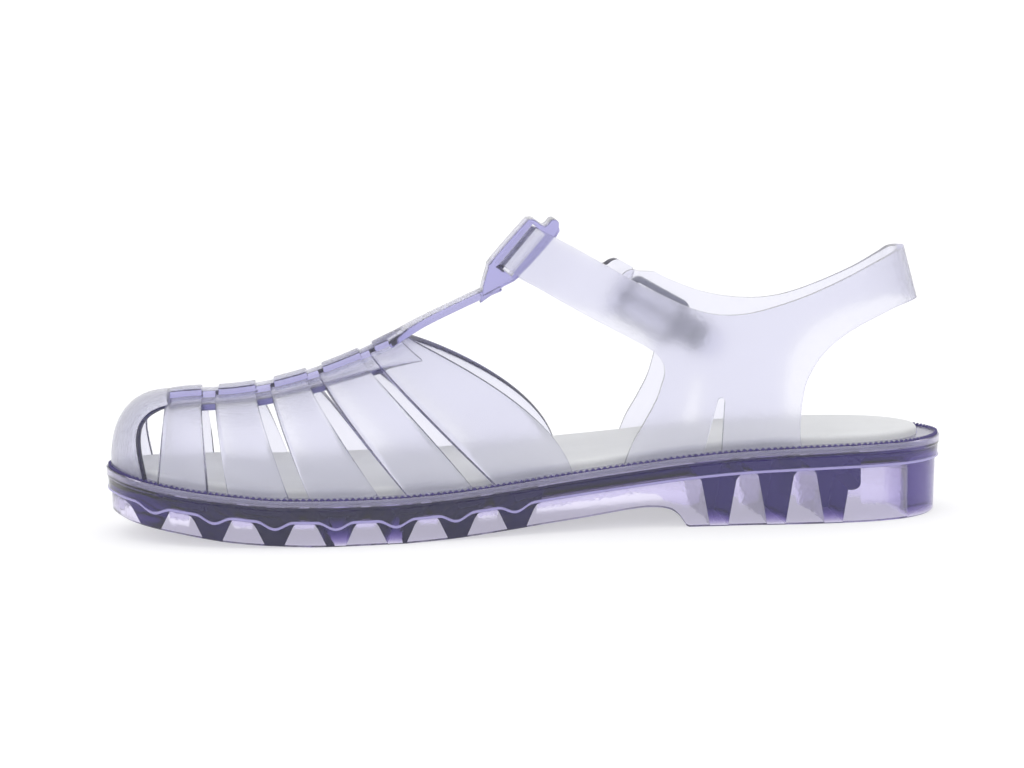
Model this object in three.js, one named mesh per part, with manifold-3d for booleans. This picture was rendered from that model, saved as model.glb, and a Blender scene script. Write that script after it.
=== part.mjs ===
// Jelly sandal, right foot, in clear lilac moulded PVC.
// Millimetres. X runs from toe to heel, Y from the inner side (minus) to the outer side, Z up.
// The origin is under the middle of the sole, on the floor.

import * as THREE from 'three';
import { mergeVertices } from 'three/addons/utils/BufferGeometryUtils.js';
import Module from 'manifold-3d';

const wasm = await Module();
wasm.setup();

// Driving sizes of the sole
const SOLE_LENGTH = 250;
const BALL_WIDTH = 90;
const HEEL_HEIGHT = 23.2;
const TOE_SPRING = 7.6;
const ARCH_RISE = 6.3;
const PLATE_DEPTH = 6.0;
const SKIRT_WALL = 2.2;
const LIP_HEIGHT = 2.6;
const LIP_STEP = 0.4;
const LIP_WALL = 1.0;
const SEAT_DEPTH = 2.0;
const RIB_PITCH = 17.5;
const RIB_FOOT = 5.4;
const RIB_HEAD = 11.6;
const HEEL_RIB_PITCH = 17;
const HEEL_BLOCK = 13.5;
const SHORT_RIB = 5.4;
const SHORT_RIB_FOOT = 9.6;
const SHORT_RIB_PLACE = 30.6;

// Driving sizes of the insole
const INSOLE_THICKNESS = 4.4;
const INSOLE_ROUNDING = 1.6;

// Driving sizes of the upper
const WALL = 2.1;
const FLANGE_WIDTH = 5.2;
const FLANGE_THICKNESS = 1.7;
const CROWN_HEIGHT = 43.7;
const STRIP_WIDTH = 24;
const STRIP_SINK = 1.0;
const PAD_WIDTH = 10.5;
const PAD_RISE = 2.0;
const PAD_GAP_RISE = 1.2;
const TBAR_WIDTH = 11.6;
const TBAR_WALL = 2.3;
const ANKLE_WIDTH = 60;
const STRAP_WIDTH = 14.8;
const SLIT_WIDTH = 5.6;
const SLIT_HEIGHT = 17;
const STRAP_HEIGHT = 88;

// Driving sizes of the loop and the buckle
const LOOP_WIDTH = 13;
const LOOP_DEPTH = 5.3;
const FRAME_LENGTH = 21;
const FRAME_HEIGHT = 14.6;
const FRAME_BAR = 2.0;
const FRAME_THICKNESS = 1.6;
const PRONG_WIDTH = 2.2;
const PRONG_THICKNESS = 0.9;
const CLIP_SHEET = 0.7;
const CLIP_WIDTH = 8.8;
const CLIP_LEAF = 6.0;
const RIVET_RADIUS = 1.1;
const RIVET_HEAD = 0.5;
const CLEARANCE = 0.35;

// Places along the sole: share of length 0 is the toe tip, 1 the heel tip
const HALF_LENGTH = SOLE_LENGTH / 2;
const xAt = (share) => share * SOLE_LENGTH - HALF_LENGTH;
const shareAt = (x) => (x + HALF_LENGTH) / SOLE_LENGTH;

// Outline of the sole: widths as shares of half the ball width
const OUTLINE = [
  { at: 0.0, inner: -0.133, outer: -0.133 },
  { at: 0.01, inner: -0.4, outer: 0.1 },
  { at: 0.03, inner: -0.6, outer: 0.3 },
  { at: 0.068, inner: -0.767, outer: 0.53 },
  { at: 0.12, inner: -0.9, outer: 0.745 },
  { at: 0.19, inner: -0.984, outer: 0.9 },
  { at: 0.26, inner: -1.0, outer: 0.978 },
  { at: 0.34, inner: -0.956, outer: 1.0 },
  { at: 0.44, inner: -0.833, outer: 0.956 },
  { at: 0.54, inner: -0.7, outer: 0.867 },
  { at: 0.64, inner: -0.622, outer: 0.79 },
  { at: 0.74, inner: -0.611, outer: 0.733 },
  { at: 0.82, inner: -0.629, outer: 0.7 },
  { at: 0.888, inner: -0.611, outer: 0.633 },
  { at: 0.94, inner: -0.522, outer: 0.522 },
  { at: 0.976, inner: -0.356, outer: 0.356 },
  { at: 0.994, inner: -0.178, outer: 0.178 },
  { at: 1.0, inner: 0.0, outer: 0.0 },
];

// Side of the sole: rim as a share of the heel height, spring of the toe spring
const PROFILE = [
  { at: 0.0, rim: 0.87, spring: 1.0 },
  { at: 0.03, rim: 0.822, spring: 0.8 },
  { at: 0.06, rim: 0.765, spring: 0.62 },
  { at: 0.1, rim: 0.705, spring: 0.42 },
  { at: 0.15, rim: 0.65, spring: 0.19 },
  { at: 0.2, rim: 0.601, spring: 0.07 },
  { at: 0.25, rim: 0.587, spring: 0.0 },
  { at: 0.32, rim: 0.58, spring: 0.0 },
  { at: 0.4, rim: 0.606, spring: 0.0 },
  { at: 0.475, rim: 0.672, spring: 0.0 },
  { at: 0.55, rim: 0.755, spring: 0.0 },
  { at: 0.62, rim: 0.83, spring: 0.0 },
  { at: 0.68, rim: 0.9, spring: 0.0 },
  { at: 0.75, rim: 0.955, spring: 0.0 },
  { at: 0.83, rim: 0.987, spring: 0.0 },
  { at: 0.915, rim: 1.0, spring: 0.0 },
  { at: 1.0, rim: 0.995, spring: 0.0 },
];

// Arch under the waist: rise as a share of the arch rise, ending in the heel breast
const ARCH = [
  { at: 0.35, rise: 0.0 },
  { at: 0.403, rise: 0.08 },
  { at: 0.44, rise: 0.19 },
  { at: 0.475, rise: 0.32 },
  { at: 0.515, rise: 0.48 },
  { at: 0.55, rise: 0.62 },
  { at: 0.585, rise: 0.79 },
  { at: 0.615, rise: 0.94 },
  { at: 0.635, rise: 1.0 },
  { at: 0.65, rise: 0.97 },
  { at: 0.662, rise: 0.86 },
  { at: 0.671, rise: 0.62 },
  { at: 0.682, rise: 0.0 },
];

// Crown line of the last over the toes: height as a share of the crown height above the ball rim
const CROWN = [
  { at: 0.07, height: 0.6 },
  { at: 0.1, height: 0.615 },
  { at: 0.14, height: 0.62 },
  { at: 0.18, height: 0.642 },
  { at: 0.22, height: 0.69 },
  { at: 0.26, height: 0.76 },
  { at: 0.3, height: 0.85 },
  { at: 0.34, height: 0.957 },
  { at: 0.38, height: 1.06 },
];

// Lines of the last: where a line that starts on the crown meets the rim, in shares of length
const LEAN = [
  { crown: 0.06, foot: 0.046 },
  { crown: 0.072, foot: 0.062 },
  { crown: 0.115, foot: 0.121 },
  { crown: 0.13, foot: 0.145 },
  { crown: 0.178, foot: 0.216 },
  { crown: 0.195, foot: 0.24 },
  { crown: 0.238, foot: 0.322 },
  { crown: 0.252, foot: 0.355 },
  { crown: 0.3, foot: 0.432 },
  { crown: 0.312, foot: 0.459 },
  { crown: 0.354, foot: 0.547 },
];

// Bands over the foot: front and rear edge on the crown line, and how far the rear edge bows out
const BANDS = [
  { front: 0.072, rear: 0.115, bow: 0.0 },
  { front: 0.13, rear: 0.178, bow: 0.0 },
  { front: 0.195, rear: 0.238, bow: 0.0 },
  { front: 0.252, rear: 0.3, bow: 0.15 },
  { front: 0.312, rear: 0.354, bow: 0.82 },
];

// Ankle: way round from the front (0) to the back of the heel (1), half width as a share
const ANKLE = [
  { along: 0.0, out: 0.0 },
  { along: 0.0, out: 0.09 },
  { along: 0.0, out: 0.18 },
  { along: 0.012, out: 0.245 },
  { along: 0.04, out: 0.33 },
  { along: 0.1, out: 0.46 },
  { along: 0.17, out: 0.605 },
  { along: 0.25, out: 0.735 },
  { along: 0.33, out: 0.85 },
  { along: 0.42, out: 0.94 },
  { along: 0.55, out: 1.0 },
  { along: 0.68, out: 0.993 },
  { along: 0.8, out: 0.9 },
  { along: 0.9, out: 0.7 },
  { along: 0.965, out: 0.433 },
  { along: 0.993, out: 0.2 },
  { along: 1.0, out: 0.0 },
];

// Edges of strap and quarter from the side: x as a share of length, z as a share of strap height
const TOP_EDGE = [
  { x: 0.51, z: 1.0 },
  { x: 0.535, z: 0.967 },
  { x: 0.584, z: 0.891 },
  { x: 0.629, z: 0.818 },
  { x: 0.656, z: 0.78 },
  { x: 0.682, z: 0.745 },
  { x: 0.71, z: 0.72 },
  { x: 0.738, z: 0.714 },
  { x: 0.768, z: 0.725 },
  { x: 0.817, z: 0.765 },
  { x: 0.861, z: 0.812 },
  { x: 0.908, z: 0.867 },
  { x: 0.944, z: 0.901 },
  { x: 0.957, z: 0.908 },
];
const LOW_EDGE = [
  { x: 0.469, z: 0.873 },
  { x: 0.476, z: 0.867 },
  { x: 0.491, z: 0.838 },
  { x: 0.52, z: 0.79 },
  { x: 0.564, z: 0.72 },
  { x: 0.619, z: 0.636 },
  { x: 0.633, z: 0.614 },
  { x: 0.648, z: 0.583 },
  { x: 0.655, z: 0.55 },
  { x: 0.656, z: 0.519 },
  { x: 0.652, z: 0.477 },
  { x: 0.646, z: 0.43 },
  { x: 0.632, z: 0.357 },
  { x: 0.62, z: 0.301 },
  { x: 0.611, z: 0.244 },
  { x: 0.606, z: 0.2 },
];
const REAR_EDGE = [
  { x: 0.82, z: 0.24 },
  { x: 0.816, z: 0.29 },
  { x: 0.816, z: 0.361 },
  { x: 0.818, z: 0.42 },
  { x: 0.823, z: 0.484 },
  { x: 0.835, z: 0.548 },
  { x: 0.85, z: 0.596 },
  { x: 0.87, z: 0.637 },
  { x: 0.892, z: 0.669 },
  { x: 0.923, z: 0.703 },
  { x: 0.942, z: 0.719 },
  { x: 0.965, z: 0.73 },
  { x: 0.974, z: 0.733 },
];

// Top edge of the outer quarter, from under the buckle to the heel
const OUTER_TOP_EDGE = [
  { x: 0.63, z: 0.835 },
  { x: 0.651, z: 0.831 },
  { x: 0.688, z: 0.774 },
  { x: 0.733, z: 0.725 },
  { x: 0.781, z: 0.704 },
  { x: 0.823, z: 0.712 },
  { x: 0.866, z: 0.752 },
  { x: 0.909, z: 0.812 },
  { x: 0.935, z: 0.866 },
  { x: 0.946, z: 0.895 },
  { x: 0.958, z: 0.907 },
];

// How far rearwards the outer quarter's lower edges lie from the inner ones, as a share of length
const OUTER_SET_BACK = 0.012;

// Helpers: tables, solids and meshes

// Monotone interpolation of a table's column over another
function curve(table, over, column, angle = false) {
  const key = (value) => (angle ? Math.acos(1 - 2 * THREE.MathUtils.clamp(value, 0, 1)) : value);
  const xs = table.map((row) => key(row[over]));
  const ys = table.map((row) => row[column]);
  const last = xs.length - 1;
  const slope = (i) => (ys[i + 1] - ys[i]) / (xs[i + 1] - xs[i]);
  const tangent = (i) => {
    if (i === 0) return slope(0);
    if (i === last) return slope(last - 1);
    const before = slope(i - 1);
    const after = slope(i);
    return before * after <= 0 ? 0 : (2 * before * after) / (before + after);
  };
  return (value) => {
    const x = THREE.MathUtils.clamp(key(value), xs[0], xs[last]);
    let i = 0;
    while (i < last - 1 && x > xs[i + 1]) i += 1;
    const span = xs[i + 1] - xs[i];
    const t = (x - xs[i]) / span;
    const rise = ys[i + 1] - ys[i];
    const a = tangent(i) * span - rise;
    const b = rise - tangent(i + 1) * span;
    return ys[i] + t * rise + t * (1 - t) * (a * (1 - t) + b * t);
  };
}

// Closed solid from points and triangles, turned inside out if its volume is negative
function solidFrom(points, triangles) {
  let volume = 0;
  for (const [a, b, c] of triangles) {
    volume += points[a].dot(new THREE.Vector3().crossVectors(points[b], points[c]));
  }
  const faces = volume < 0 ? triangles.map(([a, b, c]) => [a, c, b]) : triangles;
  const geometry = new THREE.BufferGeometry();
  geometry.setAttribute('position', new THREE.Float32BufferAttribute(points.flatMap((p) => p.toArray()), 3));
  geometry.setIndex(faces.flat());
  return solid(geometry);
}

function solid(geometry) {
  const bare = geometry.clone();
  bare.deleteAttribute('normal');
  bare.deleteAttribute('uv');
  const merged = mergeVertices(bare, 1e-4);
  const index = Array.from(merged.index.array);
  const kept = [];
  for (let i = 0; i < index.length; i += 3) {
    const [a, b, c] = index.slice(i, i + 3);
    if (a !== b && b !== c && c !== a) kept.push(a, b, c);
  }
  return new wasm.Manifold(new wasm.Mesh({
    numProp: 3,
    vertProperties: new Float32Array(merged.attributes.position.array),
    triVerts: new Uint32Array(kept),
  }));
}

function joined(solids) {
  return solids.reduce((all, next) => all.add(next));
}

function part(name, body, material) {
  const mesh = body.getMesh();
  const geometry = new THREE.BufferGeometry();
  geometry.setAttribute('position', new THREE.Float32BufferAttribute(mesh.vertProperties, 3));
  geometry.setIndex(Array.from(mesh.triVerts));
  geometry.computeVertexNormals();
  const node = new THREE.Mesh(geometry, material);
  node.name = name;
  return node;
}

// Sheet of even wall: a grid of outer points, thickened inwards along the grid's own normals
function sheet(rows, columns, outerPoint, wall, wrap = false) {
  const outer = [];
  const count = wrap ? columns : columns + 1;
  for (let i = 0; i <= rows; i += 1) {
    for (let j = 0; j < count; j += 1) outer.push(outerPoint(i / rows, j / columns));
  }
  const id = (i, j) => i * count + (wrap ? (j + columns) % columns : j);
  const along = (i, j) => {
    const high = outer[id(Math.min(i + 1, rows), j)];
    return high.clone().sub(outer[id(Math.max(i - 1, 0), j)]);
  };
  const across = (i, j) => {
    const next = wrap ? j + 1 : Math.min(j + 1, columns);
    const before = wrap ? j - 1 : Math.max(j - 1, 0);
    return outer[id(i, next)].clone().sub(outer[id(i, before)]);
  };
  const points = outer.slice();
  for (let i = 0; i <= rows; i += 1) {
    for (let j = 0; j < count; j += 1) {
      const normal = along(i, j).cross(across(i, j)).normalize();
      points.push(outer[id(i, j)].clone().addScaledVector(normal, -wall));
    }
  }
  const inner = outer.length;
  const faces = [];
  const quad = (a, b, c, d) => faces.push([a, b, c], [a, c, d]);
  for (let i = 0; i < rows; i += 1) {
    for (let j = 0; j < columns; j += 1) {
      quad(id(i, j), id(i + 1, j), id(i + 1, j + 1), id(i, j + 1));
      quad(inner + id(i, j), inner + id(i, j + 1), inner + id(i + 1, j + 1), inner + id(i + 1, j));
    }
  }
  for (let j = 0; j < columns; j += 1) {
    quad(id(0, j), id(0, j + 1), inner + id(0, j + 1), inner + id(0, j));
    quad(id(rows, j + 1), id(rows, j), inner + id(rows, j), inner + id(rows, j + 1));
  }
  if (!wrap) {
    for (let i = 0; i < rows; i += 1) {
      quad(id(i + 1, 0), id(i, 0), inner + id(i, 0), inner + id(i + 1, 0));
      quad(id(i, columns), id(i + 1, columns), inner + id(i + 1, columns), inner + id(i, columns));
    }
  }
  return solidFrom(points, faces);
}

// Prism across the shoe from a side outline of [x, z] pairs, between two y values
function prismAcross(outline, yLow, yHigh) {
  const shape = new THREE.Shape(outline.map(([x, z]) => new THREE.Vector2(x, z)));
  const geometry = new THREE.ExtrudeGeometry(shape, { depth: yHigh - yLow, bevelEnabled: false });
  geometry.rotateX(Math.PI / 2);
  geometry.translate(0, yHigh, 0);
  return solid(geometry);
}

// Functions of the last

const innerEdge = curve(OUTLINE, 'at', 'inner', true);
const outerEdge = curve(OUTLINE, 'at', 'outer', true);
const rimShare = curve(PROFILE, 'at', 'rim');
const springShare = curve(PROFILE, 'at', 'spring');
const archShare = curve(ARCH, 'at', 'rise');
const crownShare = curve(CROWN, 'at', 'height');
const footShare = curve(LEAN, 'crown', 'foot');

const rimHeight = (x) => HEEL_HEIGHT * rimShare(shareAt(x));
const floorHeight = (x) => TOE_SPRING * springShare(shareAt(x)) + ARCH_RISE * archShare(shareAt(x));
const sideEdge = (x, side) => (BALL_WIDTH / 2) * (side < 0 ? innerEdge : outerEdge)(shareAt(x));
const seatHeight = (x) => rimHeight(x) - SEAT_DEPTH;

// Outline point at a turn: 0 is the toe tip, 0.5 the heel tip, the inner side comes first
function outlinePoint(turn) {
  const side = turn <= 0.5 ? -1 : 1;
  const swing = 2 * Math.PI * (side < 0 ? turn : 1 - turn);
  const x = xAt((1 - Math.cos(swing)) / 2);
  return new THREE.Vector2(x, sideEdge(x, side));
}

function insetPoint(turn, inset) {
  const step = 0.004;
  const before = outlinePoint((turn - step + 1) % 1);
  const after = outlinePoint((turn + step) % 1);
  const tangent = after.sub(before).normalize();
  return outlinePoint(turn).add(new THREE.Vector2(-tangent.y, tangent.x).multiplyScalar(inset));
}

// Solid between rings that follow the outline: each ring has an inset and a height function
const OUTLINE_STEPS = 96;
function outlineSolid(rings) {
  const points = [];
  for (const ring of rings) {
    for (let j = 0; j < OUTLINE_STEPS; j += 1) {
      const flat = insetPoint(j / OUTLINE_STEPS, ring.inset);
      points.push(new THREE.Vector3(flat.x, flat.y, ring.height(flat.x)));
    }
  }
  const id = (i, j) => i * OUTLINE_STEPS + ((j + OUTLINE_STEPS) % OUTLINE_STEPS);
  const faces = [];
  for (let i = 0; i + 1 < rings.length; i += 1) {
    for (let j = 0; j < OUTLINE_STEPS; j += 1) {
      faces.push([id(i, j), id(i, j + 1), id(i + 1, j + 1)], [id(i, j), id(i + 1, j + 1), id(i + 1, j)]);
    }
  }
  const top = rings.length - 1;
  for (let j = 0; j < OUTLINE_STEPS / 2; j += 1) {
    faces.push([id(top, j), id(top, j + 1), id(top, -j - 1)], [id(top, j), id(top, -j - 1), id(top, -j)]);
    faces.push([id(0, j + 1), id(0, j), id(0, -j - 1)], [id(0, -j - 1), id(0, j), id(0, -j)]);
  }
  const used = faces.filter(([a, b, c]) => a !== b && b !== c && c !== a);
  return solidFrom(points, used);
}

// Outsole: plate with a lip, a thin wall to the floor and ribs across its hollow

const SKIRT_LEAN = 1.2;

function makeOutsole() {
  const under = -1;
  const over = 2;
  const body = outlineSolid([
    { inset: SKIRT_LEAN, height: () => under },
    { inset: LIP_STEP, height: (x) => rimHeight(x) - LIP_HEIGHT - LIP_STEP },
    { inset: 0, height: (x) => rimHeight(x) - LIP_HEIGHT },
    { inset: 0, height: rimHeight },
  ]);
  const tray = outlineSolid([
    { inset: LIP_WALL, height: seatHeight },
    { inset: LIP_WALL, height: (x) => rimHeight(x) + over },
  ]);
  const hollow = outlineSolid([
    { inset: SKIRT_WALL + SKIRT_LEAN, height: () => under - over },
    { inset: SKIRT_WALL + LIP_STEP, height: (x) => rimHeight(x) - PLATE_DEPTH },
  ]);
  const hollowBays = ribs().reduce((space, rib) => space.subtract(rib), hollow);
  return body.subtract(tray).subtract(hollowBays).subtract(underside());
}

// Everything below the line of toe spring, arch and heel breast
function underside() {
  const steps = 46;
  const line = [];
  for (let i = 0; i <= steps; i += 1) {
    const x = xAt(-0.02 + (1.04 * i) / steps);
    line.push([x, floorHeight(x)]);
  }
  for (const row of ARCH.slice(-5)) line.push([xAt(row.at), ARCH_RISE * row.rise]);
  line.sort((a, b) => a[0] - b[0]);
  const distinct = line.filter(([x], i) => i === 0 || x - line[i - 1][0] > 0.2);
  const depth = -6;
  return prismAcross([[xAt(-0.02), depth], ...distinct, [xAt(1.02), depth]], -BALL_WIDTH, BALL_WIDTH);
}

// Cross ribs: place of the first as a share of length, and how many follow at the pitch
const FORE_RIBS = { start: 0.0576, count: 7 };
const HEEL_RIBS = { start: 0.72, count: 3 };

// A block closes the heel's end, and a short rib before it ends in the air
function ribs() {
  const found = [];
  for (let k = 0; k < FORE_RIBS.count; k += 1) {
    found.push(rib(xAt(FORE_RIBS.start) + k * RIB_PITCH, RIB_FOOT, RIB_HEAD));
  }
  for (let k = 0; k < HEEL_RIBS.count; k += 1) {
    found.push(rib(xAt(HEEL_RIBS.start) + k * HEEL_RIB_PITCH, RIB_FOOT, RIB_HEAD));
  }
  found.push(rib(HALF_LENGTH, 2 * HEEL_BLOCK, 2 * HEEL_BLOCK));
  found.push(rib(HALF_LENGTH - SHORT_RIB_PLACE, SHORT_RIB, SHORT_RIB, SHORT_RIB_FOOT));
  return found;
}

// Rib across the sole, narrow at its foot and wide at the plate
function rib(x, foot, head, from = 0) {
  const sunk = 3;
  const low = from > 0 ? from : -sunk;
  const high = rimHeight(x) - PLATE_DEPTH + sunk;
  const [narrow, wide] = [foot / 2, head / 2];
  const outline = [[x - narrow, low], [x + narrow, low], [x + wide, high], [x - wide, high]];
  return prismAcross(outline, -BALL_WIDTH, BALL_WIDTH);
}

// Insole: pad on the seat inside the upper's flange, round at its top edge

function makeInsole() {
  const flangeInner = LIP_WALL + CLEARANCE + FLANGE_WIDTH;
  const inset = flangeInner + CLEARANCE;
  const base = (x) => seatHeight(x) + CLEARANCE;
  const top = (x) => base(x) + INSOLE_THICKNESS;
  return outlineSolid([
    { inset, height: base },
    { inset, height: (x) => top(x) - INSOLE_ROUNDING },
    { inset: inset + INSOLE_ROUNDING, height: top },
  ]);
}

// Upper: rim flange, toe strip, bands, centre strip, T-bar with its loop, quarters and strap

const FOOT_INSET = LIP_WALL + CLEARANCE + 0.05;
const RIDGE_Y = -BALL_WIDTH / 30;
const BALL_RIM = HEEL_HEIGHT * 0.58;
const crownHeight = (x) => BALL_RIM + CROWN_HEIGHT * crownShare(shareAt(x));

// Fullness of the cross-section: round over the toes, closer to a ridge at the instep
function fullness(x) {
  return THREE.MathUtils.mapLinear(THREE.MathUtils.clamp(shareAt(x), 0.1, 0.36), 0.1, 0.36, 2.25, 1.8);
}

// Point on the last: a line starts at crownX, falls by the angle fall and ends on the rim
function lastPoint(crownX, fall, side, lift = 0, bow = 0) {
  const footX = xAt(footShare(shareAt(crownX)));
  const power = 2 / fullness(crownX);
  const drop = 1 - Math.cos(fall) ** power;
  const out = Math.sin(fall) ** power;
  const x = crownX + (footX - crownX) * (drop + bow * drop * (1 - drop));
  const footY = footEdge(footX, side);
  const y = RIDGE_Y + (footY - RIDGE_Y) * out;
  const top = crownHeight(crownX);
  const foot = rimHeight(footX) - FLANGE_THICKNESS / 2;
  const z = top + (foot - top) * drop;
  const outward = new THREE.Vector3(0, side * out, 1.15 - out).normalize();
  return new THREE.Vector3(x, y, z).addScaledVector(outward, lift);
}

// Where the last meets the rim: the outline set in square to its own direction
function footEdge(x, side) {
  const slope = (sideEdge(x + 1, side) - sideEdge(x - 1, side)) / 2;
  return sideEdge(x, side) - side * FOOT_INSET * Math.hypot(1, slope);
}

function makeBand(band) {
  const rows = band.bow > 0 ? 3 : 2;
  return sheet(rows, 22, (i, j) => {
    const turn = j * 2 - 1;
    const crownX = xAt(THREE.MathUtils.lerp(band.front, band.rear, i));
    return lastPoint(crownX, Math.abs(turn) * Math.PI / 2, Math.sign(turn) || 1, 0, band.bow * i);
  }, WALL);
}

// Strip along the crown line, a given width and lift, between two shares of length
function makeStrip(from, to, width, lift, rows) {
  return sheet(rows, 4, (i, j) => {
    const crownX = xAt(THREE.MathUtils.lerp(from, to, i));
    const off = (j - 0.5) * width;
    const side = Math.sign(off) || 1;
    const footX = xAt(footShare(shareAt(crownX)));
    const reach = Math.abs(footEdge(footX, side) - RIDGE_Y);
    const fall = Math.asin((Math.abs(off) / reach) ** (fullness(crownX) / 2));
    return lastPoint(crownX, fall, side, lift);
  }, WALL);
}

// Toe strip: fans out from the start of the centre strip over the toe to the rim
const STRIP_START = 0.078;
function makeToeStrip() {
  const startX = xAt(STRIP_START);
  const edgeTurn = 0.0655;
  const power = 2 / 2.55;
  const edgeBow = 3;
  const startLift = PAD_RISE;
  return sheet(12, 12, (i, j) => {
    const spread = 1 - j * 2;
    const fall = (i * Math.PI) / 2;
    const side = Math.sign(spread) || 1;
    const off = Math.abs(spread) * STRIP_WIDTH * 0.5;
    const reach = Math.abs(footEdge(startX, side) - RIDGE_Y);
    const startFall = Math.asin((off / reach) ** (fullness(startX) / 2));
    const start = lastPoint(startX, startFall, side, startLift * (1 - Math.abs(spread) ** 3) - 0.1);
    const foot = insetPoint((1 - edgeTurn * spread) % 1, FOOT_INSET + CLEARANCE * Math.abs(spread));
    const out = Math.sin(fall) ** power;
    const drop = 1 - Math.cos(fall) ** power;
    const x = start.x + (foot.x - start.x) * out - edgeBow * spread ** 2 * Math.sin(2 * fall);
    const y = start.y + (foot.y - start.y) * out;
    const z = start.z + (rimHeight(foot.x) - FLANGE_THICKNESS / 2 - start.z) * drop;
    return new THREE.Vector3(x, y, z);
  }, WALL);
}

function makeFlange() {
  const outer = LIP_WALL + CLEARANCE;
  const low = (x) => rimHeight(x) - FLANGE_THICKNESS;
  const slabOf = (inset, over) => outlineSolid([
    { inset, height: (x) => low(x) - over },
    { inset, height: (x) => low(x) + FLANGE_THICKNESS + over },
  ]);
  return slabOf(outer, 0).subtract(slabOf(outer + FLANGE_WIDTH, 1));
}

// T-bar from the last pad to the loop: centre line of its outer face and half width
const TBAR = [
  { x: 0.335, z: 0.634, half: 0.85 },
  { x: 0.352, z: 0.663, half: 0.72 },
  { x: 0.375, z: 0.698, half: 0.56 },
  { x: 0.41, z: 0.743, half: 0.5 },
  { x: 0.447, z: 0.788, half: 0.5 },
  { x: 0.47, z: 0.813, half: 0.5 },
];

function makeTBar() {
  const heightAt = curve(TBAR, 'x', 'z');
  const halfAt = curve(TBAR, 'x', 'half');
  return sheet(8, 4, (i, j) => {
    const share = THREE.MathUtils.lerp(TBAR[0].x, TBAR[TBAR.length - 1].x, i);
    const spread = j * 2 - 1;
    const y = RIDGE_Y * (1 - i) + spread * halfAt(share) * TBAR_WIDTH;
    const z = heightAt(share) * STRAP_HEIGHT - 0.5 * spread ** 2;
    return new THREE.Vector3(xAt(share), y, z);
  }, TBAR_WALL);
}

// Ankle tube: leaning front where the loop is, round back of the heel

const LEAN_FRONT = { x: xAt(0.4706), z: STRAP_HEIGHT * 0.874, run: 0.866 };
const LEAN_REAR = { x: xAt(0.974), z: STRAP_HEIGHT * 0.727, run: -0.258 };
const FRONT_LIMIT = xAt(0.413);
const frontX = (z) => Math.max(LEAN_FRONT.x + (z - LEAN_FRONT.z) * LEAN_FRONT.run, FRONT_LIMIT);
const rearX = (z) => LEAN_REAR.x + (z - LEAN_REAR.z) * LEAN_REAR.run;
const BLEND_HEIGHT = STRAP_HEIGHT * 0.68;

function ankleLevel(x, along, out, z, side) {
  const oval = (ANKLE_WIDTH / 2) * out;
  const foot = Math.abs(sideEdge(x, side)) - FOOT_INSET;
  const rim = rimHeight(x);
  const rise = THREE.MathUtils.clamp((z - rim) / (BLEND_HEIGHT - rim), 0, 1);
  const ends = Math.min(1, 8 * Math.min(along, 1 - along));
  const half = THREE.MathUtils.lerp(THREE.MathUtils.lerp(oval, foot, ends), oval, rise);
  return side * half;
}

const TUBE_LEVELS = [0, 0.3, 0.6, 0.85, 1];
function ankleTube() {
  const half = ANKLE.length - 1;
  const columns = 2 * half;
  const lower = TUBE_LEVELS.length - 1;
  const rows = lower + 3;
  return sheet(rows, columns, (i, j) => {
    const row = Math.round(i * rows);
    const step = Math.round(j * columns);
    const side = step <= half ? 1 : -1;
    const { along, out } = ANKLE[step <= half ? step : columns - step];
    const level = row <= lower ? TUBE_LEVELS[row] : 1;
    const extra = row > lower ? ((row - lower) / 3) * STRAP_HEIGHT * 0.37 : 0;
    const footX = FRONT_LIMIT + along * (rearX(HEEL_HEIGHT) - FRONT_LIMIT);
    const base = rimHeight(footX) - FLANGE_THICKNESS / 2;
    const z = THREE.MathUtils.lerp(base, BLEND_HEIGHT, level) + extra;
    const x = frontX(z) + along * (rearX(z) - frontX(z));
    return new THREE.Vector3(x, ankleLevel(x, along, out, z, side), z);
  }, WALL, true);
}

const place = ({ x, z }) => [xAt(x), z * STRAP_HEIGHT];

// Outline points beyond the tube's front and rear, so that nothing of it is left out
const FRONT_CAP = [{ x: 0.445, z: 0.9 }, { x: 0.492, z: 1.03 }];
const REAR_CAP = [{ x: 0.985, z: 0.915 }, { x: 1.0, z: 0.74 }];

// Side outline of the inner quarter with the whole strap
function innerOutline() {
  return [
    ...LOW_EDGE.slice().reverse().map(place),
    ...FRONT_CAP.map(place),
    ...TOP_EDGE.map(place),
    ...REAR_CAP.map(place),
    ...REAR_EDGE.slice().reverse().map(place),
  ];
}

// Side outline of the outer quarter, which lies a little further back and ends in an arm
function outerOutline() {
  const back = ({ x, z }) => place({ x: x + OUTER_SET_BACK * (1.5 - z), z });
  const heel = REAR_EDGE.slice(-3);
  const rise = REAR_EDGE.slice(0, -3);
  return [
    ...LOW_EDGE.slice(3).reverse().map(back),
    place({ x: 0.6, z: 0.9 }),
    ...OUTER_TOP_EDGE.map(place),
    ...REAR_CAP.map(place),
    ...heel.reverse().map(place),
    ...rise.reverse().map(back),
  ];
}

function slit(side) {
  const foot = xAt(0.712);
  const low = rimHeight(foot);
  const half = SLIT_WIDTH / 2;
  const lean = 2.6;
  const tip = SLIT_WIDTH * 0.21;
  const shoulder = low + SLIT_HEIGHT - tip * 1.3;
  const outline = [
    [foot - half, low],
    [foot + half, low],
    [foot + lean + tip, shoulder],
    [foot + lean, low + SLIT_HEIGHT],
    [foot + lean - tip, shoulder],
  ];
  return side < 0 ? prismAcross(outline, -BALL_WIDTH, 0) : prismAcross(outline, 0, BALL_WIDTH);
}

// Buckle line: along the strap's slope on the outer side, centred between the frame's bars

const BUCKLE_TILT = THREE.MathUtils.degToRad(30);
const BUCKLE_X = xAt(0.668);
const BUCKLE_Z = STRAP_HEIGHT * 0.6625;

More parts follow.
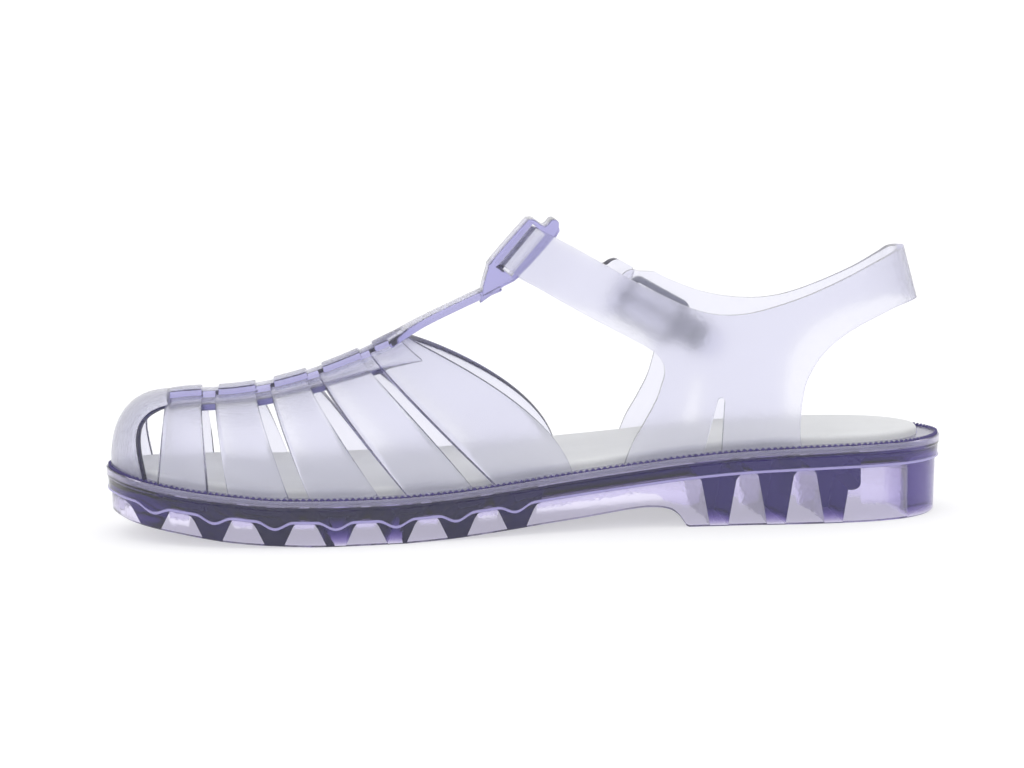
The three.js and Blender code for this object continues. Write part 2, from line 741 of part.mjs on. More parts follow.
// Outer end of the strap along the buckle line: places as shares of the frame's length, edges as
// shares of the strap's width, stand-off from the quarter in walls
const TAIL = [
  { at: -2.1, low: -0.69, high: 0.34, out: 0.0 },
  { at: -1.75, low: -0.69, high: 0.32, out: 0.0 },
  { at: -1.4, low: -0.69, high: 0.33, out: 0.05 },
  { at: -1.2, low: -0.68, high: 0.35, out: 0.45 },
  { at: -1.03, low: -0.65, high: 0.37, out: 0.85 },
  { at: -0.97, low: -0.63, high: 0.5, out: 0.95 },
  { at: -0.88, low: -0.61, high: 0.59, out: 1.0 },
  { at: -0.64, low: -0.59, high: 0.59, out: 1.0 },
  { at: -0.575, low: -0.5, high: 0.5, out: 1.0 },
  { at: -0.56, low: -0.31, high: 0.31, out: 1.0 },
  { at: -0.42, low: -0.31, high: 0.31, out: 1.0 },
  { at: -0.2, low: -0.31, high: 0.31, out: 1.45 },
  { at: 0.0, low: -0.31, high: 0.31, out: 2.25 },
  { at: 0.2, low: -0.31, high: 0.31, out: 2.95 },
  { at: 0.36, low: -0.31, high: 0.31, out: 3.2 },
  { at: 0.6, low: -0.31, high: 0.31, out: 3.2 },
  { at: 0.8, low: -0.31, high: 0.31, out: 2.6 },
  { at: 1.0, low: -0.31, high: 0.31, out: 2.2 },
  { at: 1.14, low: -0.24, high: 0.24, out: 2.05 },
  { at: 1.2, low: -0.09, high: 0.09, out: 2.0 },
];

// Point in the buckle's own plane: u along the strap, v up across it
function buckleSide(u, v) {
  const x = BUCKLE_X + u * Math.cos(BUCKLE_TILT) + v * Math.sin(BUCKLE_TILT);
  const z = BUCKLE_Z - u * Math.sin(BUCKLE_TILT) + v * Math.cos(BUCKLE_TILT);
  return [x, z];
}

function makeInnerSide() {
  const shape = prismAcross(innerOutline(), -BALL_WIDTH, 2);
  return ankleTube().intersect(shape).subtract(slit(-1));
}

// Outer quarter: its arm ends in a round flap behind the buckle
function makeOuterQuarter() {
  const armFront = -FRAME_LENGTH * 0.69;
  const armHalf = STRAP_WIDTH * 0.585;
  const corner = armHalf * 0.3;
  const flap = [
    buckleSide(0, armHalf * 1.6),
    buckleSide(armFront + corner, armHalf),
    buckleSide(armFront + corner * 0.3, armHalf - corner * 0.3),
    buckleSide(armFront, armHalf - corner),
    buckleSide(armFront, corner - armHalf),
    buckleSide(armFront + corner, -armHalf * 1.3),
    [xAt(0.62), 0],
    [xAt(1.02), 0],
    [xAt(1.02), STRAP_HEIGHT * 1.1],
    [xAt(0.75), STRAP_HEIGHT * 1.1],
  ];
  const shape = prismAcross(outerOutline(), -2, BALL_WIDTH);
  const reach = prismAcross(flap, -2, BALL_WIDTH);
  return ankleTube().intersect(shape).intersect(reach).subtract(slit(1)).subtract(rivetHole());
}

// Outer part of the ankle strap: out of the loop, to a shoulder, then a tongue through the frame
const LOOP_TURNS = 5;
function makeStrapTail() {
  const lowFront = STRAP_WIDTH * TAIL[0].low;
  const highFront = STRAP_WIDTH * 0.4;
  const rows = LOOP_TURNS + TAIL.length - 1;
  return sheet(rows, 4, (i, j) => {
    const row = Math.round(i * rows);
    if (row < LOOP_TURNS) {
      const high = THREE.MathUtils.lerp(highFront, STRAP_WIDTH * TAIL[0].high, row / LOOP_TURNS);
      return turnPoint(ANKLE[row], THREE.MathUtils.lerp(high, lowFront, j));
    }
    const { at, low, high, out } = TAIL[row - LOOP_TURNS];
    const face = quarterFace(at * FRAME_LENGTH, STRAP_WIDTH * THREE.MathUtils.lerp(high, low, j));
    return face.add(new THREE.Vector3(0, out * (WALL + CLEARANCE), 0));
  }, WALL).subtract(prongHole());
}

// Point of the ankle tube at a given way round, at height v across the buckle line
function turnPoint({ along, out }, v) {
  const [sin, cos] = [Math.sin(BUCKLE_TILT), Math.cos(BUCKLE_TILT)];
  const xOn = (z) => THREE.MathUtils.lerp(frontX(z), rearX(z), along);
  const xBase = xOn(STRAP_HEIGHT);
  const run = xBase - xOn(STRAP_HEIGHT - 1);
  const rise = (v - (xBase - BUCKLE_X) * sin - (STRAP_HEIGHT - BUCKLE_Z) * cos) / (run * sin + cos);
  const z = STRAP_HEIGHT + rise;
  const x = xBase + run * rise;
  return new THREE.Vector3(x, ankleLevel(x, along, out, z, 1), z);
}

function prongHole() {
  const half = PRONG_WIDTH / 2 + 2 * CLEARANCE;
  const from = FRAME_LENGTH * 0.12;
  const to = FRAME_LENGTH * 0.43;
  const corners = [buckleSide(from, half), buckleSide(to, half), buckleSide(to, -half), buckleSide(from, -half)];
  return prismAcross(corners, 0, BALL_WIDTH);
}

// Loop at the top of the T-bar, in its own slanted axes: s up the strap's width, t outwards
const LOOP_OUTLINE = [
  { s: -0.86, t: -0.19 },
  { s: -0.57, t: -0.03 },
  { s: -0.24, t: 0.12 },
  { s: -0.06, t: 0.175 },
  { s: 0.94, t: 0.155 },
  { s: 1.07, t: 0.12 },
  { s: 1.13, t: 0.04 },
  { s: 1.14, t: -0.08 },
  { s: 1.15, t: -0.17 },
  { s: 1.21, t: -0.22 },
  { s: 1.335, t: -0.22 },
  { s: 1.4, t: -0.28 },
  { s: 1.4, t: -0.36 },
  { s: 1.33, t: -0.42 },
  { s: 1.15, t: -0.51 },
  { s: 0.11, t: -0.47 },
  { s: -0.284, t: -0.34 },
];

function loopPlace(s, t) {
  const slope = Math.atan2(1, LEAN_FRONT.run);
  const x = LEAN_FRONT.x + s * Math.cos(slope) - t * Math.sin(slope);
  const z = LEAN_FRONT.z + s * Math.sin(slope) + t * Math.cos(slope);
  return [x, z];
}

function makeLoop() {
  const outline = LOOP_OUTLINE.map(({ s, t }) => loopPlace(s * STRAP_WIDTH, t * STRAP_WIDTH));
  const low = -0.6;
  const high = STRAP_WIDTH + 0.6;
  const near = CLEARANCE;
  const far = -LOOP_DEPTH + CLEARANCE;
  const hole = [loopPlace(low, near), loopPlace(high, near), loopPlace(high, far), loopPlace(low, far)];
  return prismAcross(outline, -LOOP_WIDTH / 2, LOOP_WIDTH / 2).subtract(prismAcross(hole, -LOOP_WIDTH, LOOP_WIDTH));
}

// Buckle: flat frame whose front bar lies over the strap and whose rear bar lies under it

const BAR_U = (FRAME_LENGTH - FRAME_BAR) / 2;
const FRONT_BAR_OUT = WALL + 3.6 * CLEARANCE + FRAME_THICKNESS / 2;
const REAR_BAR_OUT = PRONG_THICKNESS + 2.6 * CLEARANCE + FRAME_THICKNESS / 2;

// Point on the outer face of the outer quarter, at a place on the buckle line
function quarterFace(u, v) {
  const [x, z] = buckleSide(u, v);
  const along = (x - frontX(z)) / (rearX(z) - frontX(z));
  let k = 1;
  while (k < ANKLE.length - 1 && ANKLE[k].along < along) k += 1;
  const low = ANKLE[k - 1];
  const high = ANKLE[k];
  const out = THREE.MathUtils.mapLinear(along, low.along, high.along, low.out, high.out);
  return new THREE.Vector3(x, ankleLevel(x, along, out, z, 1), z);
}

function buckleMatrix() {
  const faceUp = quarterFace(0, 4).sub(quarterFace(0, -4)).normalize();
  const faceAlong = quarterFace(BAR_U, 0).sub(quarterFace(-BAR_U, 0)).normalize();
  const outward = new THREE.Vector3().crossVectors(faceUp, faceAlong).normalize();
  const front = quarterFace(-BAR_U, 0).addScaledVector(outward, FRONT_BAR_OUT);
  const rear = quarterFace(BAR_U, 0).addScaledVector(outward, REAR_BAR_OUT);
  const along = rear.clone().sub(front).normalize();
  const up = faceUp.addScaledVector(along, -faceUp.dot(along)).normalize();
  const normal = new THREE.Vector3().crossVectors(up, along).normalize();
  const middle = front.add(rear).multiplyScalar(0.5);
  const across = up.clone().negate();
  return new THREE.Matrix4().makeBasis(along, across, normal).setPosition(middle);
}

function roundedBar(length, height, radius) {
  const shape = new THREE.Shape();
  const x = length / 2 - radius;
  const y = height / 2 - radius;
  const quarter = Math.PI / 2;
  shape.absarc(x, y, radius, 0, quarter);
  shape.absarc(-x, y, radius, quarter, 2 * quarter);
  shape.absarc(-x, -y, radius, 2 * quarter, 3 * quarter);
  shape.absarc(x, -y, radius, 3 * quarter, 4 * quarter);
  return shape;
}

function plateSolid(length, height, radius, thickness) {
  const geometry = new THREE.ExtrudeGeometry(roundedBar(length, height, radius), {
    depth: thickness,
    bevelEnabled: false,
    curveSegments: 5,
  });
  geometry.translate(0, 0, -thickness / 2);
  return solid(geometry);
}

function makeFrame() {
  const [length, height] = [FRAME_LENGTH - 2 * FRAME_BAR, FRAME_HEIGHT - 2 * FRAME_BAR];
  const outer = plateSolid(FRAME_LENGTH, FRAME_HEIGHT, FRAME_BAR * 1.5, FRAME_THICKNESS);
  const inside = plateSolid(length, height, FRAME_BAR * 0.6, FRAME_THICKNESS * 2);
  return outer.subtract(inside);
}

// Bent strip of metal: path of its outer face in the plane of the buckle's side, as [u, n] pairs
function bentStrip(path, from, to, thickness) {
  const strip = (i, j) => {
    const [u, n] = path[Math.round(i * (path.length - 1))];
    return new THREE.Vector3(u, THREE.MathUtils.lerp(to, from, j), n);
  };
  return sheet(path.length - 1, 1, strip, thickness);
}

// Prong: curled round the rear bar, up through the tongue's hole and down onto the front bar
function makeProng() {
  const reachU = FRAME_BAR / 2 + CLEARANCE + PRONG_THICKNESS;
  const reachN = FRAME_THICKNESS / 2 + CLEARANCE + PRONG_THICKNESS;
  const corner = PRONG_THICKNESS * 0.9;
  const above = (rise) => reachN + PRONG_THICKNESS * rise;
  const path = [
    [BAR_U - reachU * 0.6, -reachN],
    [BAR_U + reachU - corner, -reachN],
    [BAR_U + reachU, corner - reachN],
    [BAR_U + reachU, reachN - corner],
    [BAR_U + reachU - corner, reachN],
    [BAR_U - reachU * 0.5, reachN],
    [BAR_U * 0.76, above(0.9)],
    [BAR_U * 0.6, above(2.9)],
    [BAR_U * 0.46, above(4)],
    [BAR_U * 0.12, above(4)],
    [-BAR_U * 0.42, above(2.55)],
    [-BAR_U * 0.87, above(0.2)],
    [-BAR_U - FRAME_BAR * 1.3, reachN],
  ];
  return bentStrip(path, -PRONG_WIDTH / 2, PRONG_WIDTH / 2, PRONG_THICKNESS);
}

// Clip: folded round the rear bar on both sides of the prong, riveted to the quarter
const CLIP_REACH_U = FRAME_BAR / 2 + CLEARANCE + CLIP_SHEET;
const CLIP_REACH_N = FRAME_THICKNESS / 2 + CLEARANCE + CLIP_SHEET;
const LEAF_START = BAR_U + CLIP_REACH_U + CLIP_SHEET * 2;
const RIVET_U = LEAF_START + CLIP_LEAF * 0.55;

function makeClip() {
  const corner = CLIP_SHEET * 0.85;
  const [front, rear] = [BAR_U - CLIP_REACH_U, BAR_U + CLIP_REACH_U];
  const path = [
    [LEAF_START + CLIP_SHEET * 0.6, CLIP_SHEET * 2.2 - CLIP_REACH_N],
    [rear - corner, CLIP_REACH_N],
    [front + corner, CLIP_REACH_N],
    [front, CLIP_REACH_N - corner],
    [front, corner - CLIP_REACH_N],
    [front + corner, -CLIP_REACH_N],
    [LEAF_START + CLIP_SHEET * 1.15, -CLIP_REACH_N],
  ];
  const slot = PRONG_WIDTH / 2 + CLEARANCE;
  const leafThickness = CLIP_SHEET * 1.9;
  const leaf = plateSolid(CLIP_LEAF, CLIP_WIDTH, CLIP_SHEET * 1.4, leafThickness)
    .translate([LEAF_START + CLIP_LEAF / 2, 0, leafThickness / 2 - CLIP_REACH_N]);
  return joined([
    leaf,
    bentStrip(path, slot, CLIP_WIDTH / 2, CLIP_SHEET),
    bentStrip(path, -CLIP_WIDTH / 2, -slot, CLIP_SHEET),
    makeRivet(leafThickness - CLIP_REACH_N),
  ]);
}

function rivetPin(u, from, to, radius) {
  const pin = new THREE.CylinderGeometry(radius, radius, to - from, 12);
  pin.rotateX(Math.PI / 2);
  pin.translate(u, 0, (from + to) / 2);
  return solid(pin);
}

// Rivet through leaf and quarter, with a head on each side
function makeRivet(top) {
  const sunk = 0.1;
  const below = -REAR_BAR_OUT - WALL - CLEARANCE * 2 - sunk;
  const headRadius = RIVET_RADIUS * 1.7;
  return joined([
    rivetPin(RIVET_U, below - RIVET_HEAD, top + RIVET_HEAD, RIVET_RADIUS),
    rivetPin(RIVET_U, top - sunk, top + RIVET_HEAD, headRadius),
    rivetPin(RIVET_U, below - RIVET_HEAD, below, headRadius),
  ]);
}

// Hole for the rivet in the outer quarter
function rivetHole() {
  const depth = 2 * (REAR_BAR_OUT + WALL);
  return rivetPin(RIVET_U, -depth, 0, RIVET_RADIUS + CLEARANCE).transform(buckleMatrix().toArray());
}

function makeUpper() {
  const bands = BANDS.map(makeBand);
  const pads = BANDS.map(({ front, rear }) => makeStrip(front + 0.004, rear, PAD_WIDTH, PAD_RISE, 2));
  const stripEnd = BANDS[BANDS.length - 1].rear - 0.003;
  const base = makeStrip(STRIP_START, stripEnd, STRIP_WIDTH, -STRIP_SINK, 12);
  const ridge = makeStrip(STRIP_START, stripEnd, PAD_WIDTH - 1.5, PAD_GAP_RISE, 12);
  return joined([
    makeFlange(),
    ...bands,
    base,
    ridge,
    ...pads,
    makeToeStrip(),
    makeTBar(),
    makeLoop(),
    makeInnerSide(),
    makeOuterQuarter(),
    makeStrapTail(),
  ]);
}

// Materials

const pvc = (color) => new THREE.MeshStandardMaterial({ color, roughness: 0.25, metalness: 0, transparent: true, opacity: 0.6 });
const solePvc = pvc('#6d5fa3');
const upperPvc = pvc('#c9c8e6');
const metal = new THREE.MeshStandardMaterial({ color: '#8f9196', roughness: 0.3, metalness: 1 });
const insoleFoam = new THREE.MeshStandardMaterial({ color: '#e6e7e6', roughness: 0.8, metalness: 0 });

const sandal = new THREE.Group();
sandal.add(part('outsole', makeOutsole(), solePvc));
sandal.add(part('insole', makeInsole(), insoleFoam));
sandal.add(part('upper', makeUpper(), upperPvc));

const buckle = new THREE.Group();
buckle.applyMatrix4(buckleMatrix());
buckle.add(part('buckle_frame', makeFrame(), metal));
buckle.add(part('buckle_prong', makeProng(), metal));
buckle.add(part('buckle_clip', makeClip(), metal));
sandal.add(buckle);

export default sandal;
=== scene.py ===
# Jelly sandal, right foot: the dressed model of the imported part.
# Sizes are in millimetres until a piece is made, then metres. X toe to heel, +Y outer side, Z up.

import bisect
import math

import bmesh
import bpy
from mathutils import Matrix, Vector


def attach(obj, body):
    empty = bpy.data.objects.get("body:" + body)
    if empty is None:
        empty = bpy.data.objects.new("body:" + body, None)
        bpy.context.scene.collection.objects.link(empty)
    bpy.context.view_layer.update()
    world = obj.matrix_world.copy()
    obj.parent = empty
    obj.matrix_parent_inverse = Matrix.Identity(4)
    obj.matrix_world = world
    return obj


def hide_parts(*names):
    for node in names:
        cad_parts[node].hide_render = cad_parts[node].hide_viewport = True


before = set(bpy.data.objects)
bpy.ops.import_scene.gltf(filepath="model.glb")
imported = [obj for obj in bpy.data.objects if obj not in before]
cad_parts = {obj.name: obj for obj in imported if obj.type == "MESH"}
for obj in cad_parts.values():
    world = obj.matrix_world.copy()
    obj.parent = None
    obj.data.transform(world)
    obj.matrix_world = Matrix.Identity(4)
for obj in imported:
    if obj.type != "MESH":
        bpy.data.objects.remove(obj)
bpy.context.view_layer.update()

MM = 0.001
scene = bpy.context.scene

# Camera

VIEW_TARGET = Vector((0.0, 0.0, 45.0))
VIEW_DISTANCE = 1000.0
VIEW_AZIMUTH = math.radians(4.0)
VIEW_ELEVATION = math.radians(7.10)
VIEW_ROLL = math.radians(0.87)
VIEW_FOCAL_PX = 3340.0
PICTURE_WIDTH_PX = 1024.0
TARGET_RIGHT_PX = 13.0
TARGET_UP_PX = 15.6
SENSOR_WIDTH = 36.0


def place_camera():
    data = bpy.data.cameras.new("camera")
    data.sensor_width = SENSOR_WIDTH
    data.lens = VIEW_FOCAL_PX * SENSOR_WIDTH / PICTURE_WIDTH_PX
    data.shift_x = -TARGET_RIGHT_PX / PICTURE_WIDTH_PX
    data.shift_y = -TARGET_UP_PX / PICTURE_WIDTH_PX
    data.clip_end = 50.0
    away = Vector((-math.sin(VIEW_AZIMUTH) * math.cos(VIEW_ELEVATION),
                   -math.cos(VIEW_AZIMUTH) * math.cos(VIEW_ELEVATION),
                   math.sin(VIEW_ELEVATION)))
    level_right = Vector((0, 0, 1)).cross(away).normalized()
    level_up = away.cross(level_right)
    right = level_right * math.cos(VIEW_ROLL) - level_up * math.sin(VIEW_ROLL)
    up = away.cross(right)
    camera = bpy.data.objects.new("camera", data)
    turned = Matrix((right, up, away)).transposed().to_4x4()
    camera.matrix_world = Matrix.Translation((VIEW_TARGET + away * VIEW_DISTANCE) * MM) @ turned
    scene.collection.objects.link(camera)
    scene.camera = camera


place_camera()

# Sizes of the sandal, as in the part

SOLE_LENGTH = 250.0
BALL_WIDTH = 90.0
HEEL_HEIGHT = 23.2
TOE_SPRING = 7.6
ARCH_RISE = 6.3
PLATE_DEPTH = 6.0
SKIRT_WALL = 2.2
LIP_HEIGHT = 2.6
LIP_STEP = 0.4
LIP_WALL = 1.0
SEAT_DEPTH = 2.0
RIB_PITCH = 17.5
RIB_FOOT = 5.4
RIB_HEAD = 11.6
FORE_RIB_START = 0.0576
FORE_RIB_COUNT = 7
HEEL_RIB_START = 0.72
HEEL_RIB_COUNT = 3
HEEL_RIB_PITCH = 17.0
HEEL_BLOCK = 13.5
SHORT_RIB = 5.4
SHORT_RIB_FOOT = 9.6
SHORT_RIB_PLACE = 30.6
INSOLE_THICKNESS = 4.4
INSOLE_ROUNDING = 1.6
WALL = 2.1
FLANGE_WIDTH = 5.2
FLANGE_THICKNESS = 1.7
CROWN_HEIGHT = 43.7
STRIP_WIDTH = 24.0
STRIP_SINK = 1.0
STRIP_FRONT = 0.078
STRIP_REAR = 0.35
PAD_SET_BACK = 0.004
PAD_WIDTH = 10.5
PAD_RISE = 2.0
PAD_GAP_RISE = 1.2
TBAR_WIDTH = 11.6
TBAR_WALL = 2.3
ANKLE_WIDTH = 60.0
STRAP_WIDTH = 14.8
STRAP_HEIGHT = 88.0
SLIT_WIDTH = 5.6
SLIT_HEIGHT = 17.0
LOOP_WIDTH = 13.0
LOOP_DEPTH = 5.3
FRAME_LENGTH = 21.0
CLEARANCE = 0.35
PRONG_WIDTH = 2.2
OUTER_SET_BACK = 0.012

# Outline of the sole: share of length, inner and outer half widths
OUTLINE = [
    (0.0, -0.133, -0.133), (0.01, -0.4, 0.1), (0.03, -0.6, 0.3), (0.068, -0.767, 0.53),
    (0.12, -0.9, 0.745), (0.19, -0.984, 0.9), (0.26, -1.0, 0.978), (0.34, -0.956, 1.0),
    (0.44, -0.833, 0.956), (0.54, -0.7, 0.867), (0.64, -0.622, 0.79), (0.74, -0.611, 0.733),
    (0.82, -0.629, 0.7), (0.888, -0.611, 0.633), (0.94, -0.522, 0.522), (0.976, -0.356, 0.356),
    (0.994, -0.178, 0.178), (1.0, 0.0, 0.0),
]
# Side of the sole: share of length, rim height, toe spring
PROFILE = [
    (0.0, 0.87, 1.0), (0.03, 0.822, 0.8), (0.06, 0.765, 0.62), (0.1, 0.705, 0.42),
    (0.15, 0.65, 0.19), (0.2, 0.601, 0.07), (0.25, 0.587, 0.0), (0.32, 0.58, 0.0),
    (0.4, 0.606, 0.0), (0.475, 0.672, 0.0), (0.55, 0.755, 0.0), (0.62, 0.83, 0.0),
    (0.68, 0.9, 0.0), (0.75, 0.955, 0.0), (0.83, 0.987, 0.0), (0.915, 1.0, 0.0), (1.0, 0.995, 0.0),
]
# Arch under the waist: share of length, rise
ARCH = [
    (0.35, 0.0), (0.403, 0.08), (0.44, 0.19), (0.475, 0.32), (0.515, 0.48), (0.55, 0.62),
    (0.585, 0.79), (0.615, 0.94), (0.635, 1.0), (0.65, 0.97), (0.662, 0.86), (0.671, 0.62),
    (0.682, 0.0),
]
# Crown line of the last: share of length, height
CROWN = [
    (0.07, 0.6), (0.1, 0.615), (0.14, 0.62), (0.18, 0.642), (0.22, 0.69), (0.26, 0.76),
    (0.3, 0.85), (0.34, 0.957), (0.38, 1.06),
]
# Lines of the last: crown, foot
LEAN = [
    (0.06, 0.046), (0.072, 0.062), (0.115, 0.121), (0.13, 0.145), (0.178, 0.216), (0.195, 0.24),
    (0.238, 0.322), (0.252, 0.355), (0.3, 0.432), (0.312, 0.459), (0.354, 0.547),
]
# Bands over the foot: front and rear edge, bow of the rear edge
BANDS = [
    (0.072, 0.115, 0.0), (0.13, 0.178, 0.0), (0.195, 0.238, 0.0), (0.252, 0.3, 0.15),
    (0.312, 0.354, 0.82),
]
# Ankle from the front round to the heel: way along, half width
ANKLE = [
    (0.0, 0.0), (0.0, 0.09), (0.0, 0.18), (0.012, 0.245), (0.04, 0.33), (0.1, 0.46), (0.17, 0.605),
    (0.25, 0.735), (0.33, 0.85), (0.42, 0.94), (0.55, 1.0), (0.68, 0.993), (0.8, 0.9), (0.9, 0.7),
    (0.965, 0.433), (0.993, 0.2), (1.0, 0.0),
]
# Edges of strap and quarters from the side: share of length, share of strap height
TOP_EDGE = [
    (0.51, 1.0), (0.535, 0.967), (0.584, 0.891), (0.629, 0.818), (0.656, 0.78), (0.682, 0.745),
    (0.71, 0.72), (0.738, 0.714), (0.768, 0.725), (0.817, 0.765), (0.861, 0.812), (0.908, 0.867),
    (0.944, 0.901), (0.957, 0.908),
]
LOW_EDGE = [
    (0.469, 0.873), (0.476, 0.867), (0.491, 0.838), (0.52, 0.79), (0.564, 0.72), (0.619, 0.636),
    (0.633, 0.614), (0.648, 0.583), (0.655, 0.55), (0.656, 0.519), (0.652, 0.477), (0.646, 0.43),
    (0.632, 0.357), (0.62, 0.301), (0.611, 0.244), (0.606, 0.2),
]
REAR_EDGE = [
    (0.82, 0.24), (0.816, 0.29), (0.816, 0.361), (0.818, 0.42), (0.823, 0.484), (0.835, 0.548),
    (0.85, 0.596), (0.87, 0.637), (0.892, 0.669), (0.923, 0.703), (0.942, 0.719), (0.965, 0.73),
    (0.974, 0.733),
]
OUTER_TOP_EDGE = [
    (0.63, 0.835), (0.651, 0.831), (0.688, 0.774), (0.733, 0.725), (0.781, 0.704), (0.823, 0.712),
    (0.866, 0.752), (0.909, 0.812), (0.935, 0.866), (0.946, 0.895), (0.958, 0.907),
]
# T-bar: share of length, share of strap height, half width
TBAR = [
    (0.335, 0.634, 0.85), (0.352, 0.663, 0.72), (0.375, 0.698, 0.56), (0.41, 0.743, 0.5),
    (0.447, 0.788, 0.5), (0.47, 0.813, 0.5),
]
# Outer end of the strap: place along the buckle line, low and high edge, stand-off
TAIL = [
    (-2.1, -0.69, 0.34, 0.0), (-1.75, -0.69, 0.32, 0.0), (-1.4, -0.69, 0.33, 0.05),
    (-1.2, -0.68, 0.35, 0.45), (-1.03, -0.65, 0.37, 0.85), (-0.97, -0.63, 0.5, 0.95),
    (-0.88, -0.61, 0.59, 1.0), (-0.64, -0.59, 0.59, 1.0), (-0.575, -0.5, 0.5, 1.0),
    (-0.56, -0.31, 0.31, 1.0), (-0.42, -0.31, 0.31, 1.0), (-0.2, -0.31, 0.31, 1.45),
    (0.0, -0.31, 0.31, 2.25), (0.2, -0.31, 0.31, 2.95), (0.36, -0.31, 0.31, 3.2),
    (0.6, -0.31, 0.31, 3.2), (0.8, -0.31, 0.31, 2.6), (1.0, -0.31, 0.31, 2.2),
    (1.14, -0.24, 0.24, 2.05), (1.2, -0.09, 0.09, 2.0),
]
# Loop at the top of the T-bar, in shares of the strap's width: up the strap, outwards
LOOP_OUTLINE = [
    (-0.86, -0.19), (-0.57, -0.03), (-0.24, 0.12), (-0.06, 0.175), (0.94, 0.155), (1.07, 0.12),
    (1.13, 0.04), (1.14, -0.08), (1.15, -0.17), (1.21, -0.22), (1.335, -0.22), (1.4, -0.28),
    (1.4, -0.36), (1.33, -0.42), (1.15, -0.51), (0.11, -0.47), (-0.284, -0.34),
]

# Functions of the last

HALF_LENGTH = SOLE_LENGTH / 2


def x_at(share):
    return share * SOLE_LENGTH - HALF_LENGTH


def share_at(x):
    return (x + HALF_LENGTH) / SOLE_LENGTH


def lerp(a, b, t):
    return a + (b - a) * t


def clamp(value, low, high):
    return max(low, min(high, value))


def curve(table, column, rounded=False):
    """Monotone interpolation of a column over the table's first one."""
    def key(value):
        return math.acos(1 - 2 * clamp(value, 0.0, 1.0)) if rounded else value
    xs = [key(row[0]) for row in table]
    ys = [row[column] for row in table]
    last = len(xs) - 1

    def slope(i):
        return (ys[i + 1] - ys[i]) / (xs[i + 1] - xs[i])

    def tangent(i):
        if i == 0 or i == last:
            return slope(min(i, last - 1))
        before, after = slope(i - 1), slope(i)
        return 0.0 if before * after <= 0 else 2 * before * after / (before + after)

    tangents = [tangent(i) for i in range(last + 1)]

    def value_at(value):
        x = clamp(key(value), xs[0], xs[last])
        i = clamp(bisect.bisect_right(xs, x) - 1, 0, last - 1)
        span = xs[i + 1] - xs[i]
        t = (x - xs[i]) / span
        rise = ys[i + 1] - ys[i]
        a = tangents[i] * span - rise
        b = rise - tangents[i + 1] * span
        return ys[i] + t * rise + t * (1 - t) * (a * (1 - t) + b * t)
    return value_at


inner_edge = curve(OUTLINE, 1, rounded=True)
outer_edge = curve(OUTLINE, 2, rounded=True)
rim_share = curve(PROFILE, 1)
spring_share = curve(PROFILE, 2)
arch_share = curve(ARCH, 1)
crown_share = curve(CROWN, 1)
foot_share = curve(LEAN, 1)


def rim_height(x):
    return HEEL_HEIGHT * rim_share(share_at(x))


def floor_height(x):
    share = share_at(x)
    return TOE_SPRING * spring_share(share) + ARCH_RISE * arch_share(share)


def seat_height(x):
    return rim_height(x) - SEAT_DEPTH


def side_edge(x, side):
    return BALL_WIDTH / 2 * (inner_edge if side < 0 else outer_edge)(share_at(x))


def outline_point(turn):
    """Point of the sole's outline: 0 is the toe tip, 0.5 the heel tip, the inner side first."""
    side = -1 if turn <= 0.5 else 1
    swing = 2 * math.pi * (turn if side < 0 else 1 - turn)
    x = x_at((1 - math.cos(swing)) / 2)
    return Vector((x, side_edge(x, side)))


def inset_point(turn, inset):
    step = 0.002
    tangent = (outline_point((turn + step) % 1) - outline_point((turn - step) % 1)).normalized()
    return outline_point(turn) + Vector((-tangent.y, tangent.x)) * inset


# Way round the outline by length, so that rings have even stations
TURNS = 4000
WAY = [0.0]
for turn_index in range(TURNS):
    here = outline_point(turn_index / TURNS)
    there = outline_point((turn_index + 1) / TURNS % 1)
    WAY.append(WAY[-1] + (there - here).length)
OUTLINE_LENGTH = WAY[-1]


def turn_at(share):
    """Turn of the outline at a share of its own length."""
    way = share % 1 * OUTLINE_LENGTH
    i = clamp(bisect.bisect_right(WAY, way) - 1, 0, TURNS - 1)
    return (i + (way - WAY[i]) / (WAY[i + 1] - WAY[i])) / TURNS


# Mesh helpers. Cut faces and the rims of sheets take a material slot of their own; on the upper
# that slot holds a darker copy of its PVC, painted edge shade

FACE_SLOT = 0
EDGE_SLOT = 1
SHEET_ROUNDING = 0.45
SHARP_TURN = math.radians(60)


def piece(name, bm):
    """Object of a finished bmesh whose points are in millimetres."""
    bmesh.ops.scale(bm, vec=(MM, MM, MM), verts=bm.verts)
    mesh = bpy.data.meshes.new(name)
    for slot in (FACE_SLOT, EDGE_SLOT):
        mesh.materials.append(None)
    bm.to_mesh(mesh)
    bm.free()
    made = bpy.data.objects.new(name, mesh)
    scene.collection.objects.link(made)
    return made


def settle(made):
    """Applies the modifiers of a piece."""
    graph = bpy.context.evaluated_depsgraph_get()
    mesh = bpy.data.meshes.new_from_object(made.evaluated_get(graph))
    made.modifiers.clear()
    made.data = mesh
    return made


def combine(base, others, operation):
    """Boolean of a piece with others, which are used up."""
    for other in others:
        cut = base.modifiers.new("cut", 'BOOLEAN')
        cut.operation = operation
        cut.solver = 'MANIFOLD'
        cut.object = other
    settle(base)
    for other in others:
        bpy.data.objects.remove(other)
    return base


def add_rounding(made, width, segments):
    """Rounds the edges of a piece that turn by more than SHARP_TURN."""
    edge = made.modifiers.new("edge", 'BEVEL')
    edge.width = width * MM
    edge.segments = segments
    edge.limit_method = 'ANGLE'
    edge.angle_limit = SHARP_TURN


def thicken(made, wall, rounding=SHEET_ROUNDING):
    """Gives a sheet its wall inwards and rounds its free edges."""
    solid = made.modifiers.new("wall", 'SOLIDIFY')
    solid.thickness = wall * MM
    solid.offset = -1
    solid.use_even_offset = True
    solid.material_offset_rim = EDGE_SLOT
    if rounding:
        add_rounding(made, rounding, 2)
    return settle(made)


